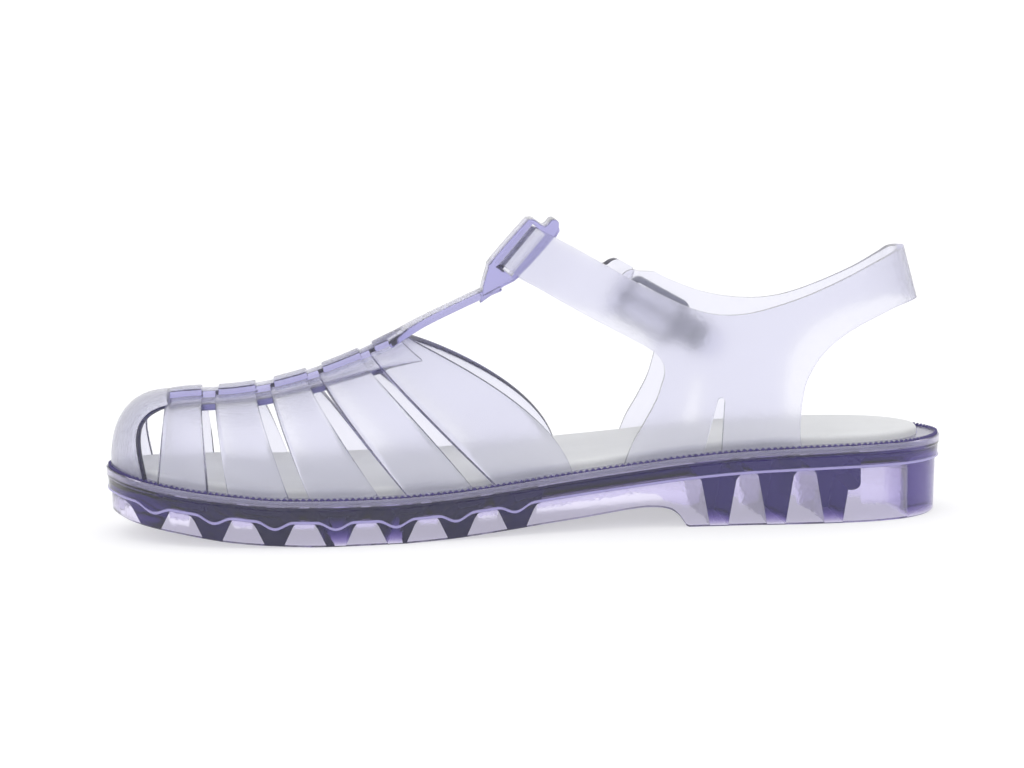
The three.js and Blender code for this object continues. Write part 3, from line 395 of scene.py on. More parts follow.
def sheet(name, rows, columns, point, wall, rounding=SHEET_ROUNDING):
    """Sheet of even wall: a grid whose outer points are point(u, v) with u along and v across."""
    bm = bmesh.new()
    bmesh.ops.create_grid(bm, x_segments=rows, y_segments=columns, size=0.5)
    for vert in bm.verts:
        vert.co = point(vert.co.x + 0.5, vert.co.y + 0.5)
    bmesh.ops.remove_doubles(bm, verts=bm.verts, dist=0.001)
    return thicken(piece(name, bm), wall, rounding)


def prism(name, outline, y_low, y_high):
    """Prism across the shoe from a side outline of (x, z) pairs."""
    bm = bmesh.new()
    verts = [bm.verts.new((x, y_low, z)) for x, z in outline]
    edges = [bm.edges.new(ends) for ends in zip(verts, verts[1:] + verts[:1])]
    face = bmesh.ops.contextual_create(bm, geom=edges)["faces"]
    grown = bmesh.ops.extrude_face_region(bm, geom=face)["geom"]
    moved = [g for g in grown if isinstance(g, bmesh.types.BMVert)]
    bmesh.ops.translate(bm, vec=(0, y_high - y_low, 0), verts=moved)
    bmesh.ops.recalc_face_normals(bm, faces=bm.faces)
    for cut_face in bm.faces:
        cut_face.material_index = EDGE_SLOT
    return piece(name, bm)


def ring_solid(name, rings, stations, closed=False):
    """Solid from rings round the sole's outline: ring(turn) gives a point."""
    bm = bmesh.new()
    turn = bm.verts.layers.float.new("turn")
    loop = bmesh.ops.create_circle(bm, segments=stations, radius=1)["verts"]
    for vert in loop:
        vert[turn] = turn_at(math.atan2(vert.co.y, vert.co.x) / (2 * math.pi) % 1)
        vert.co = rings[0](vert[turn])
    first = edges = bm.edges[:]
    for ring in rings[1:]:
        grown = bmesh.ops.extrude_edge_only(bm, edges=edges)["geom"]
        verts = {g for g in grown if isinstance(g, bmesh.types.BMVert)}
        edges = [g for g in grown
                 if isinstance(g, bmesh.types.BMEdge) and verts.issuperset(g.verts)]
        for vert in verts:
            vert.co = ring(vert[turn])
    if closed:
        bmesh.ops.bridge_loops(bm, edges=first + edges)
    else:
        for rim in (first, edges):
            close_across(bm, rim, turn)
    bmesh.ops.recalc_face_normals(bm, faces=bm.faces)
    return piece(name, bm)


def close_across(bm, rim, turn):
    """Closes a ring with strips from side to side, so that a flat ring stays flat."""
    tips = {min((v for e in rim for v in e.verts), key=lambda v: abs(v[turn] - tip))
            for tip in (0.0, 0.5)}
    sides = [e for e in rim if not tips.intersection(e.verts)]
    bmesh.ops.bridge_loops(bm, edges=sides)
    bmesh.ops.holes_fill(bm, edges=[e for e in bm.edges if e.is_boundary], sides=4)


def smooth_line(points, steps=5):
    """Rounded line through given points."""
    line = []
    last = len(points) - 1
    for i in range(last):
        before, start = Vector(points[max(i - 1, 0)]), Vector(points[i])
        end, after = Vector(points[i + 1]), Vector(points[min(i + 2, last)])
        for k in range(steps):
            t = k / steps
            line.append(tuple(0.5 * (2 * start + (end - before) * t
                                     + (2 * before - 5 * start + 4 * end - after) * t ** 2
                                     + (3 * start - before - 3 * end + after) * t ** 3)))
    line.append(tuple(points[last]))
    return line


def shade(made, degrees=38):
    made.data.shade_smooth()
    made.data.set_sharp_from_angle(angle=math.radians(degrees))
    return made


# Outsole

def raised(height, rise):
    """Height that lies above another one, both as functions of x."""
    return lambda x: height(x) + rise


def ring_at(inset, height):
    """Ring at an inset from the sole's outline, at a height that is a function of x."""
    def point(turn):
        spot = inset_point(turn, inset(turn) if callable(inset) else inset)
        return Vector((spot.x, spot.y, height(spot.x)))
    return point


SOLE_STATIONS = 640
SKIRT_LEAN = 1.2
UNDER = 1.0
FORE_RIBS = [x_at(FORE_RIB_START) + k * RIB_PITCH for k in range(FORE_RIB_COUNT)]
HEEL_RIBS = [x_at(HEEL_RIB_START) + k * HEEL_RIB_PITCH for k in range(HEEL_RIB_COUNT)]
# Wavy border of the plate on the sole's side: its drop from the rim, the dip at each rib and
# half that dip's length, how far the side below steps in and how far the border stands out
WAVE_DROP = 6.3
WAVE_DEPTH = 2.0
WAVE_HALF = 5.4
WAVE_STEP = 0.7
WAVE_BEAD = -0.15


def wave_height(x):
    """Lower border of the thick plate on the sole's side: it dips at each front rib."""
    dip = 0.0
    for rib_x in FORE_RIBS:
        off = abs(x - rib_x) / WAVE_HALF
        if off < 1:
            dip = max(dip, 0.5 + 0.5 * math.cos(math.pi * off))
    return rim_height(x) - WAVE_DROP - WAVE_DEPTH * dip


def skirt_inset(x, height):
    """The side leans in towards the floor."""
    top = rim_height(x) - LIP_HEIGHT - LIP_STEP
    return lerp(SKIRT_LEAN, LIP_STEP, clamp((height + UNDER) / (top + UNDER), 0.0, 1.0))


def skirt_point(height, extra=0.0):
    """Point of the sole's side at a height that is a function of x."""
    def point(turn):
        flat = outline_point(turn)
        level = height(flat.x)
        spot = inset_point(turn, skirt_inset(flat.x, level) + extra)
        return Vector((spot.x, spot.y, height(spot.x)))
    return point


def make_sole_body():
    """Plate, lip and side wall as rings from the hollow round the foot to the seat."""
    edge = 0.35
    lip_edge = 0.3
    inside = SKIRT_WALL + WAVE_STEP
    plate = raised(rim_height, -PLATE_DEPTH)
    lip = raised(rim_height, -LIP_HEIGHT)
    lip_foot = raised(lip, -LIP_STEP)
    return ring_solid("outsole", [
        # Rounded corner of the hollow under the plate
        skirt_point(plate, SKIRT_WALL + 2.0),
        skirt_point(raised(plate, -0.4), SKIRT_WALL + 1.2),
        skirt_point(raised(plate, -1.4), inside),
        # Down the inside of the wall and round its foot
        skirt_point(raised(floor_height, edge), inside),
        skirt_point(floor_height, inside - edge),
        skirt_point(floor_height, WAVE_STEP + edge),
        skirt_point(raised(floor_height, edge), WAVE_STEP),
        # Up the outside to the wavy border, which stands out a little
        skirt_point(lambda x: (floor_height(x) + wave_height(x)) / 2, WAVE_STEP),
        skirt_point(raised(wave_height, -0.35), WAVE_STEP),
        skirt_point(raised(wave_height, -0.1), WAVE_BEAD),
        skirt_point(raised(wave_height, 0.35), WAVE_BEAD),
        skirt_point(raised(wave_height, 0.8), 0.0),
        # Side of the plate, step to the lip, lip, and the seat inside it
        skirt_point(raised(lip_foot, -0.8), 0.0),
        ring_at(LIP_STEP, lip_foot),
        ring_at(0.05, lip),
        ring_at(0.0, raised(lip, lip_edge)),
        ring_at(0.0, raised(rim_height, -lip_edge)),
        ring_at(lip_edge, rim_height),
        ring_at(LIP_WALL, rim_height),
        ring_at(LIP_WALL, seat_height),
    ], SOLE_STATIONS)


def make_rib(x, foot, head):
    """Rib across the hollow: narrow at the floor, flared where it joins the plate. It reaches
    below the floor and into the plate, where make_ribs cuts it off."""
    low = -3.0
    plate = rim_height(x) - PLATE_DEPTH
    high = plate + 2.0
    fillet = min(2.2, (plate - low) / 4)
    side = [
        (foot / 2, low),
        (foot / 2, floor_height(x)),
        (lerp(foot, head, 0.8) / 2, plate - fillet),
        (head / 2 + 0.15 * fillet, plate - fillet * 0.4),
        (head / 2 + 0.8 * fillet, plate),
        (head / 2 + 0.8 * fillet, high),
    ]
    outline = [(x - w, z) for w, z in side] + [(x + w, z) for w, z in reversed(side)]
    return prism("rib", outline, -BALL_WIDTH, BALL_WIDTH)


def make_short_rib():
    """Rib that hangs from the plate in the heel's last bay, round at its foot."""
    x = HALF_LENGTH - SHORT_RIB_PLACE
    half = SHORT_RIB / 2
    bow = 2.0
    top = rim_height(x) - PLATE_DEPTH + 2.0
    swings = [k * math.pi / 8 for k in range(9)]
    foot = [(x - half * math.cos(swing), SHORT_RIB_FOOT + bow - bow * math.sin(swing))
            for swing in swings]
    outline = [(x - half, top)] + foot + [(x + half, top)]
    return prism("short_rib", outline, -BALL_WIDTH, BALL_WIDTH)


def make_ribs():
    """All ribs and the heel block, kept inside the side walls."""
    ribs = [make_rib(x, RIB_FOOT, RIB_HEAD) for x in FORE_RIBS + HEEL_RIBS]
    ribs.append(make_rib(HALF_LENGTH, 2 * HEEL_BLOCK, 2 * HEEL_BLOCK))
    ribs.append(make_short_rib())
    overlap = SKIRT_WALL * 0.6
    core = ring_solid("ribs", [
        skirt_point(floor_height, overlap),
        skirt_point(raised(rim_height, -PLATE_DEPTH * 0.7), overlap),
    ], SOLE_STATIONS // 2)
    first = combine(ribs[0], ribs[1:], 'UNION')
    return combine(core, [first], 'INTERSECT')


TOOTH_PITCH = 1.8
TOOTH_DEPTH = 0.45
TOOTH_HEIGHT = 0.7


def make_welt():
    """Serrated bead round the lip, against the upper: its teeth stand up and outwards."""
    teeth = round(OUTLINE_LENGTH / TOOTH_PITCH)
    bead_width, bead_height = 0.3, 0.1
    inner = LIP_WALL + 0.3
    base = raised(rim_height, 0.02)

    def tooth(turn):
        i = clamp(int(turn * TURNS), 0, TURNS - 1)
        way = lerp(WAY[i], WAY[i + 1], turn * TURNS - i) / OUTLINE_LENGTH
        return 0.5 + 0.5 * math.cos(2 * math.pi * way * teeth)

    def crest(inset):
        def point(turn):
            spot = inset_point(turn, inset(turn))
            level = rim_height(spot.x) + bead_height + TOOTH_HEIGHT * tooth(turn)
            return Vector((spot.x, spot.y, level))
        return point

    def outer(turn):
        return inner - bead_width - TOOTH_DEPTH * tooth(turn)
    return shade(ring_solid("welt", [
        ring_at(inner, base),
        ring_at(outer, base),
        crest(outer),
        crest(lambda turn: inner),
    ], teeth * 4, closed=True), 30)


def make_wave_line():
    """Raised line where the thick plate on the sole's side ends."""
    half = 0.42
    root, flank, crest = 0.3, -0.05, -0.32

    def at(share):
        return raised(wave_height, share * half)
    return shade(ring_solid("wave_line", [
        skirt_point(at(-1), root),
        skirt_point(at(-1), flank),
        skirt_point(at(-0.5), crest),
        skirt_point(at(0.5), crest),
        skirt_point(at(1), flank),
        skirt_point(at(1), root),
    ], SOLE_STATIONS, closed=True), 60)


def make_outsole():
    sole = make_sole_body()
    return shade(combine(sole, [make_ribs()], 'UNION'), 30)


# Insole

def make_insole():
    """Pad inside the flange, round at its top edge."""
    flange_inner = LIP_WALL + CLEARANCE + FLANGE_WIDTH
    inset = flange_inner + CLEARANCE
    base = raised(seat_height, CLEARANCE)
    top = raised(base, INSOLE_THICKNESS)
    arc = []
    for k in range(5):
        swing = k * math.pi / 8
        drop = INSOLE_ROUNDING * (1 - math.sin(swing))
        run = INSOLE_ROUNDING * (1 - math.cos(swing))
        arc.append(ring_at(inset + run, raised(top, -drop)))
    made = ring_solid("insole", [ring_at(inset, base)] + arc, 360)
    return shade(made, 50)


# Upper

FOOT_INSET = LIP_WALL + CLEARANCE + 0.05
RIDGE_Y = -BALL_WIDTH / 30
BALL_RIM = HEEL_HEIGHT * 0.58


def crown_height(x):
    return BALL_RIM + CROWN_HEIGHT * crown_share(share_at(x))


def fullness(x):
    """Power of the last's cross section: fuller at the toe than over the instep."""
    toe, instep = 0.1, 0.36
    return lerp(2.25, 1.8, (clamp(share_at(x), toe, instep) - toe) / (instep - toe))


def foot_edge(x, side):
    slope = (side_edge(x + 1, side) - side_edge(x - 1, side)) / 2
    return side_edge(x, side) - side * FOOT_INSET * math.hypot(1, slope)


def last_point(crown_x, fall, side, lift=0.0, bow=0.0):
    """Point on the last: from the crown line, fall round the side by an angle."""
    foot_x = x_at(foot_share(share_at(crown_x)))
    power = 2 / fullness(crown_x)
    drop = 1 - max(math.cos(fall), 0.0) ** power
    out = max(math.sin(fall), 0.0) ** power
    x = crown_x + (foot_x - crown_x) * (drop + bow * drop * (1 - drop))
    y = RIDGE_Y + (foot_edge(foot_x, side) - RIDGE_Y) * out
    top = crown_height(crown_x)
    foot = rim_height(foot_x) - FLANGE_THICKNESS / 2
    z = top + (foot - top) * drop
    outward = Vector((0, side * out, 1.15 - out)).normalized()
    return Vector((x, y, z)) + outward * lift


def make_band(front, rear, bow):
    """Band from rim to rim over the foot."""
    def point(u, v):
        turn = v * 2 - 1
        crown_x = x_at(lerp(front, rear, u))
        side = -1 if turn < 0 else 1
        return last_point(crown_x, abs(turn) * math.pi / 2, side, 0.0, bow * u)
    return sheet("band", 10, 88, point, WALL)


def make_strip(start, end, width, lift, rows):
    """Strip along the crown, lifted off the last or sunk into it."""
    def point(u, v):
        crown_x = x_at(lerp(start, end, u))
        off = (v - 0.5) * width
        side = -1 if off < 0 else 1
        foot_x = x_at(foot_share(share_at(crown_x)))
        reach = abs(foot_edge(foot_x, side) - RIDGE_Y)
        fall = math.asin((abs(off) / reach) ** (fullness(crown_x) / 2))
        return last_point(crown_x, fall, side, lift)
    return sheet("strip", rows, 10, point, WALL)


def make_toe_strip():
    """Broad strip from the centre strip down over the toe."""
    start_x = x_at(STRIP_FRONT)
    edge_turn = 0.0655
    power = 2 / 2.55
    edge_bow = 3.0

    def point(u, v):
        spread = 1 - v * 2
        fall = u * math.pi / 2
        side = -1 if spread < 0 else 1
        reach = abs(foot_edge(start_x, side) - RIDGE_Y)
        off = abs(spread) * STRIP_WIDTH * 0.5
        start_fall = math.asin((off / reach) ** (fullness(start_x) / 2))
        start = last_point(start_x, start_fall, side, PAD_RISE * (1 - abs(spread) ** 3) - 0.1)
        foot = inset_point((1 - edge_turn * spread) % 1, FOOT_INSET + CLEARANCE * abs(spread))
        out = max(math.sin(fall), 0.0) ** power
        drop = 1 - max(math.cos(fall), 0.0) ** power
        x = start.x + (foot.x - start.x) * out - edge_bow * spread ** 2 * math.sin(2 * fall)
        y = start.y + (foot.y - start.y) * out
        z = start.z + (rim_height(foot.x) - FLANGE_THICKNESS / 2 - start.z) * drop
        return Vector((x, y, z))
    return sheet("toe_strip", 40, 36, point, WALL)


def make_flange():
    """Flange that all straps grow out of, just inside the sole's lip."""
    outer = LIP_WALL + CLEARANCE
    low = raised(rim_height, -FLANGE_THICKNESS)
    return ring_solid("upper", [
        ring_at(outer, low),
        ring_at(outer, rim_height),
        ring_at(outer + FLANGE_WIDTH, rim_height),
        ring_at(outer + FLANGE_WIDTH, low),
    ], 400, closed=True)


def make_tbar():
    """Bar from the centre strip up to the loop."""
    height_at = curve(TBAR, 1)
    half_at = curve(TBAR, 2)

    def point(u, v):
        share = lerp(TBAR[0][0], TBAR[-1][0], u)
        spread = v * 2 - 1
        y = RIDGE_Y * (1 - u) + spread * half_at(share) * TBAR_WIDTH
        return Vector((x_at(share), y, height_at(share) * STRAP_HEIGHT - 0.5 * spread ** 2))
    return sheet("tbar", 30, 10, point, TBAR_WALL)


# Ankle: one tube round the leg, cut to the quarters and the strap

LEAN_FRONT = (x_at(0.4706), STRAP_HEIGHT * 0.874, 0.866)
LEAN_REAR = (x_at(0.974), STRAP_HEIGHT * 0.727, -0.258)
FRONT_LIMIT = x_at(0.413)
BLEND_HEIGHT = STRAP_HEIGHT * 0.68


def front_x(z):
    return max(LEAN_FRONT[0] + (z - LEAN_FRONT[1]) * LEAN_FRONT[2], FRONT_LIMIT)


def rear_x(z):
    return LEAN_REAR[0] + (z - LEAN_REAR[1]) * LEAN_REAR[2]


def ankle_level(x, along, out, z, side):
    """Sideways place of the tube: an oval above, the sole's outline at its foot."""
    oval = ANKLE_WIDTH / 2 * out
    foot = abs(side_edge(x, side)) - FOOT_INSET
    rim = rim_height(x)
    rise = clamp((z - rim) / (BLEND_HEIGHT - rim), 0.0, 1.0)
    ends = min(1.0, 8 * min(along, 1 - along))
    return side * lerp(lerp(oval, foot, ends), oval, rise)


ankle_along = curve([(k, row[0]) for k, row in enumerate(ANKLE)], 1)
ankle_out = curve([(k, row[1]) for k, row in enumerate(ANKLE)], 1)
out_of_along = curve(ANKLE[2:], 1)


def make_tube(name):
    """Tube round the ankle, from the rim to above the strap."""
    half = len(ANKLE) - 1
    rise = STRAP_HEIGHT * 0.37

    def point(u, v):
        step = v * 2 * half
        side = 1 if step <= half else -1
        place = step if step <= half else 2 * half - step
        along, out = ankle_along(place), ankle_out(place)
        foot_x = FRONT_LIMIT + along * (rear_x(HEEL_HEIGHT) - FRONT_LIMIT)
        base = rim_height(foot_x) - FLANGE_THICKNESS / 2
        z = lerp(base, BLEND_HEIGHT + rise, u)
        x = lerp(front_x(z), rear_x(z), along)
        return Vector((x, ankle_level(x, along, out, z, side), z))
    return sheet(name, 26, 128, point, WALL, rounding=0)


def placed(edge):
    """Points (x, z) of an edge that is given in shares."""
    return [(x_at(x), z * STRAP_HEIGHT) for x, z in edge]


FRONT_CAP = [(x_at(0.445), STRAP_HEIGHT * 0.9), (x_at(0.492), STRAP_HEIGHT * 1.03)]
REAR_CAP = [(x_at(0.985), STRAP_HEIGHT * 0.915), (x_at(1.0), STRAP_HEIGHT * 0.74)]


def inner_outline():
    """Inner quarter and strap, seen from the side."""
    return (smooth_line(placed(LOW_EDGE[::-1])) + FRONT_CAP + smooth_line(placed(TOP_EDGE))
            + REAR_CAP + smooth_line(placed(REAR_EDGE[::-1])))


def outer_outline():
    """Outer quarter, seen from the side: it lies a little further back, most at its foot."""
    def back(edge):
        return placed([(x + OUTER_SET_BACK * (1.5 - z), z) for x, z in edge])
    rear = placed(REAR_EDGE[-3:][::-1]) + back(REAR_EDGE[:-3][::-1])
    return (smooth_line(back(LOW_EDGE[3:][::-1])) + [(x_at(0.6), STRAP_HEIGHT * 0.9)]
            + smooth_line(placed(OUTER_TOP_EDGE)) + REAR_CAP + smooth_line(rear))


def make_slit(side):
    """Tapered slit at the foot of a quarter."""
    foot = x_at(0.712)
    low = rim_height(foot) - 0.2
    half = SLIT_WIDTH / 2
    lean = 2.6
    tip = 1.1
    top = low + SLIT_HEIGHT - tip
    arc = [(foot + lean + tip * math.cos(a), top + tip * math.sin(a))
           for a in [k * math.pi / 8 for k in range(9)]]
    outline = [(foot - half, low), (foot + half, low)] + arc
    return prism("slit", outline, *((-BALL_WIDTH, 0) if side < 0 else (0, BALL_WIDTH)))


BUCKLE_TILT = math.radians(30)
BUCKLE_X = x_at(0.668)
BUCKLE_Z = STRAP_HEIGHT * 0.6625


def buckle_side(u, v):
    """Place (x, z) of a point on the buckle line: u along the strap, v across it."""
    x = BUCKLE_X + u * math.cos(BUCKLE_TILT) + v * math.sin(BUCKLE_TILT)
    z = BUCKLE_Z - u * math.sin(BUCKLE_TILT) + v * math.cos(BUCKLE_TILT)
    return x, z


def quarter_face(u, v):
    """Point on the outer face of the outer quarter, at a place on the buckle line."""
    x, z = buckle_side(u, v)
    along = (x - front_x(z)) / (rear_x(z) - front_x(z))
    return Vector((x, ankle_level(x, along, out_of_along(along), z, 1), z))


def make_inner_side():
    """Inner quarter with the whole strap, to just past the middle of the heel."""
    shape = prism("inner", inner_outline(), -BALL_WIDTH, 2)
    tube = combine(make_tube("inner_side"), [shape], 'INTERSECT')
    return combine(tube, [make_slit(-1)], 'DIFFERENCE')


def make_outer_quarter():
    """Outer quarter, cut off in front as a rounded arm for the buckle."""
    arm_front = -FRAME_LENGTH * 0.69
    arm_half = STRAP_WIDTH * 0.585
    corner = arm_half * 0.45
    flap = [buckle_side(0, arm_half * 1.6), buckle_side(arm_front + corner, arm_half)]
    for k in range(1, 6):
        swing = k * math.pi / 12
        flap.append(buckle_side(arm_front + corner * (1 - math.sin(swing)),
                                arm_half - corner * (1 - math.cos(swing))))
    flap += [
        buckle_side(arm_front, arm_half - corner),
        buckle_side(arm_front, corner - arm_half),
        buckle_side(arm_front + corner, -arm_half * 1.3),
        (x_at(0.62), 0),
        (x_at(1.02), 0),
        (x_at(1.02), STRAP_HEIGHT * 1.1),
        (x_at(0.75), STRAP_HEIGHT * 1.1),
    ]
    shape = prism("outer", outer_outline(), -2, BALL_WIDTH)
    reach = prism("reach", flap, -2, BALL_WIDTH)
    tube = combine(make_tube("outer_quarter"), [shape, reach], 'INTERSECT')
    return combine(tube, [make_slit(1)], 'DIFFERENCE')


LOOP_TURNS = 5


def turn_point(place, v):
    """Point where the strap comes round the instep, at a height v across the buckle line."""
    along, out = ankle_along(place), ankle_out(place)
    sin, cos = math.sin(BUCKLE_TILT), math.cos(BUCKLE_TILT)

    def x_on(z):
        return lerp(front_x(z), rear_x(z), along)
    x_base = x_on(STRAP_HEIGHT)
    run = x_base - x_on(STRAP_HEIGHT - 1)
    rise = (v - (x_base - BUCKLE_X) * sin - (STRAP_HEIGHT - BUCKLE_Z) * cos) / (run * sin + cos)
    z = STRAP_HEIGHT + rise
    x = x_base + run * rise
    return Vector((x, ankle_level(x, along, out, z, 1), z))


def make_strap_tail():
    """Strap from the loop round to the outer side, under the frame and to its rounded end."""
    low_front = STRAP_WIDTH * TAIL[0][1]
    high_front = STRAP_WIDTH * 0.4
    low_at, high_at, out_at = (curve(TAIL, k) for k in (1, 2, 3))
    ats = [row[0] for row in TAIL]
    fine = 3
    places = [lerp(a, b, k / fine) for a, b in zip(ats, ats[1:]) for k in range(fine)] + [ats[-1]]
    turns = LOOP_TURNS * fine
    rows = turns + len(places) - 1
    last_turn = LOOP_TURNS - 1

    def tail_point(at, v):
        spread = STRAP_WIDTH * lerp(high_at(at), low_at(at), v)
        out = out_at(at) * (WALL + CLEARANCE)
        return quarter_face(at * FRAME_LENGTH, spread) + Vector((0, out, 0))

    def point(u, v):
        row = round(u * rows)
        if row >= turns:
            return tail_point(places[row - turns], v)
        high = lerp(high_front, STRAP_WIDTH * TAIL[0][2], row / turns)
        place = row / fine
        if place <= last_turn:
            return turn_point(place, lerp(high, low_front, v))
        start = turn_point(last_turn, lerp(high, low_front, v))
        return start.lerp(tail_point(ats[0], v), place - last_turn)
    made = sheet("strap_tail", rows, 10, point, WALL)
    half = PRONG_WIDTH / 2 + CLEARANCE
    start, end = FRAME_LENGTH * 0.12, FRAME_LENGTH * 0.43
    corners = [buckle_side(start, half), buckle_side(end, half),
               buckle_side(end, -half), buckle_side(start, -half)]
    return combine(made, [prism("hole", corners, 0, BALL_WIDTH)], 'DIFFERENCE')


def loop_place(s, t):
    """Place (x, z) at the loop: s up the strap's slope, t outwards."""
    slope = math.atan2(1, LEAN_FRONT[2])
    return (LEAN_FRONT[0] + s * math.cos(slope) - t * math.sin(slope),
            LEAN_FRONT[1] + s * math.sin(slope) + t * math.cos(slope))


def make_loop():
    """Loop at the top of the T-bar that the strap runs through."""
    outline = smooth_line(
        [loop_place(s * STRAP_WIDTH, t * STRAP_WIDTH) for s, t in LOOP_OUTLINE], 3)
    play = 0.6
    low, high = -play, STRAP_WIDTH + play
    near, far = CLEARANCE, CLEARANCE - LOOP_DEPTH
    hole = [loop_place(low, near), loop_place(high, near),
            loop_place(high, far), loop_place(low, far)]
    made = prism("loop", outline, -LOOP_WIDTH / 2, LOOP_WIDTH / 2)
    add_rounding(made, 0.6, 3)
    settle(made)
    return combine(made, [prism("way", hole, -LOOP_WIDTH, LOOP_WIDTH)], 'DIFFERENCE')


def make_upper():
    pieces = [make_band(*band) for band in BANDS]
    pieces += [make_strip(front + PAD_SET_BACK, rear, PAD_WIDTH, PAD_RISE, 8)
               for front, rear, _ in BANDS]
    pieces += [
        make_strip(STRIP_FRONT, STRIP_REAR, STRIP_WIDTH, -STRIP_SINK, 50),
        make_strip(STRIP_FRONT, STRIP_REAR + 0.002, PAD_WIDTH - 1.5, PAD_GAP_RISE, 50),
        make_toe_strip(),
        make_tbar(),
        make_loop(),
        make_inner_side(),
        make_outer_quarter(),
        make_strap_tail(),
    ]
    return shade(combine(make_flange(), pieces, 'UNION'), 38)


# Materials

def srgb(code, alpha=1.0):
    """Linear colour of an sRGB hex value."""
    parts = [int(code[k:k + 2], 16) / 255 for k in (1, 3, 5)]
    linear = [c / 12.92 if c <= 0.04045 else ((c + 0.055) / 1.055) ** 2.4 for c in parts]
    return (*linear, alpha)


def add_node(tree, kind, links=(), values=(), **settings):
    """Adds a node with its settings, socket values and links (socket, source socket)."""
    made = tree.nodes.new(kind)
    for name, value in settings.items():
        setattr(made, name, value)
    for socket, value in values:
        made.inputs[socket].default_value = value
    for socket, source in links:
        tree.links.new(source, made.inputs[socket])
    return made


def new_material(name):
    material = bpy.data.materials.new(name)
    material.use_nodes = True
    material.node_tree.nodes.clear()
    return material, material.node_tree


def clear_pvc(name, clear, rough, tint, density, absorbed, grain, bump):
    """Clear plasticised PVC, injection moulded: the tint builds up with depth, so thin walls
    are nearly white and long ways through the stuff are deep lilac."""
    material, tree = new_material(name)
    place = add_node(tree, "ShaderNodeTexCoord").outputs["Object"]
    # Faint unevenness of the mould's polish, in spots of 1000 / grain mm
    cloud = add_node(tree, "ShaderNodeTexNoise", [("Vector", place)],
                     [("Scale", grain), ("Detail", 3.0), ("Roughness", 0.5)])
    frost = add_node(tree, "ShaderNodeMapRange", [("Value", cloud.outputs["Fac"])],
                     [("From Min", 0.3), ("From Max", 0.7),
                      ("To Min", rough * 0.8), ("To Max", rough * 1.2)])
    relief = add_node(tree, "ShaderNodeBump", [("Height", cloud.outputs["Fac"])],
                      [("Strength", bump), ("Distance", 0.0002)])
    body = add_node(tree, "ShaderNodeBsdfPrincipled",
                    [("Roughness", frost.outputs["Result"]), ("Normal", relief.outputs["Normal"])],
                    [("Base Color", srgb(tint)), ("Transmission Weight", clear), ("IOR", 1.5)])
    depth = add_node(tree, "ShaderNodeVolumeAbsorption", [],
                     [("Color", srgb(absorbed)), ("Density", density)])
    add_node(tree, "ShaderNodeOutputMaterial",
             [("Surface", body.outputs["BSDF"]), ("Volume", depth.outputs["Volume"])])
    return material


def footbed_cloth():
    """Polyester cloth over foam: soft and matt, off-white, with a fine weave."""
    material, tree = new_material("footbed_polyester_cloth")
    place = add_node(tree, "ShaderNodeTexCoord").outputs["Object"]
    # Threads 0.9 mm apart
    weave = add_node(tree, "ShaderNodeTexVoronoi", [("Vector", place)], [("Scale", 1100.0)])
    # Uneven tone in patches of 17 mm
    cloud = add_node(tree, "ShaderNodeTexNoise", [("Vector", place)],
                     [("Scale", 60.0), ("Detail", 4.0)])
    ramp = add_node(tree, "ShaderNodeMix", [("Factor", cloud.outputs["Fac"])], data_type='RGBA')
    ramp.inputs["A"].default_value = srgb("#D6D7D9")
    ramp.inputs["B"].default_value = srgb("#E2E3E4")
    relief = add_node(tree, "ShaderNodeBump", [("Height", weave.outputs["Distance"])],
                      [("Strength", 0.25), ("Distance", 0.0002)])
    body = add_node(tree, "ShaderNodeBsdfPrincipled",
                    [("Base Color", ramp.outputs[2]), ("Normal", relief.outputs["Normal"])],
                    [("Roughness", 0.8), ("Sheen Weight", 0.15)])
    add_node(tree, "ShaderNodeOutputMaterial", [("Surface", body.outputs["BSDF"])])
    return material


def plated_zinc():
    """Die-cast zinc with nickel plating: mid grey, slightly brushed by the polishing wheel."""
    material, tree = new_material("nickel_plated_zinc")
    place = add_node(tree, "ShaderNodeTexCoord").outputs["Object"]
    # Polishing marks 5 mm long and 0.4 mm apart
    stretch = add_node(tree, "ShaderNodeMapping", [("Vector", place)],
                       [("Scale", (200.0, 2500.0, 2500.0))])
    marks = add_node(tree, "ShaderNodeTexNoise", [("Vector", stretch.outputs["Vector"])],
                     [("Scale", 1.0), ("Detail", 2.0)])
    rough = add_node(tree, "ShaderNodeMapRange", [("Value", marks.outputs["Fac"])],
                     [("To Min", 0.22), ("To Max", 0.4)])
    body = add_node(tree, "ShaderNodeBsdfPrincipled", [("Roughness", rough.outputs["Result"])],
                    [("Base Color", srgb("#9A9CA2")), ("Metallic", 1.0)])
    add_node(tree, "ShaderNodeOutputMaterial", [("Surface", body.outputs["BSDF"])])
    return material


def dress(made, name, material, node_name=None, edge=None):
    """Gives a piece its name and materials, and says what it rides on and stands for."""
    made.name = name
    made.data.materials[FACE_SLOT] = material
    # The rims may take a material of their own: on the upper it is a darker copy of its PVC,
    # painted edge shade
    made.data.materials[EDGE_SLOT] = edge or material
    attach(made, "root")
    if node_name:
        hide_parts(node_name)
    return made


def let_light_through(made):
    """Clear PVC throws hardly any shadow."""
    made.visible_shadow = False


def rounded_copy(node_name, width):
    """Copy of a metal node with its edges rounded."""
    bm = bmesh.new()
    bm.from_mesh(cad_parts[node_name].data)
    bmesh.ops.remove_doubles(bm, verts=bm.verts, dist=0.00001)
    bmesh.ops.dissolve_limit(bm, angle_limit=math.radians(3), verts=bm.verts, edges=bm.edges)
    sharp = [e for e in bm.edges if e.is_manifold and e.calc_face_angle() > math.radians(35)]
    bmesh.ops.bevel(bm, geom=sharp, offset=width * MM, affect='EDGES', segments=2, profile=0.5,
                    material=-1, clamp_overlap=True)
    bmesh.ops.scale(bm, vec=(1 / MM,) * 3, verts=bm.verts)
    return shade(piece(node_name + "_rounded", bm), 40)


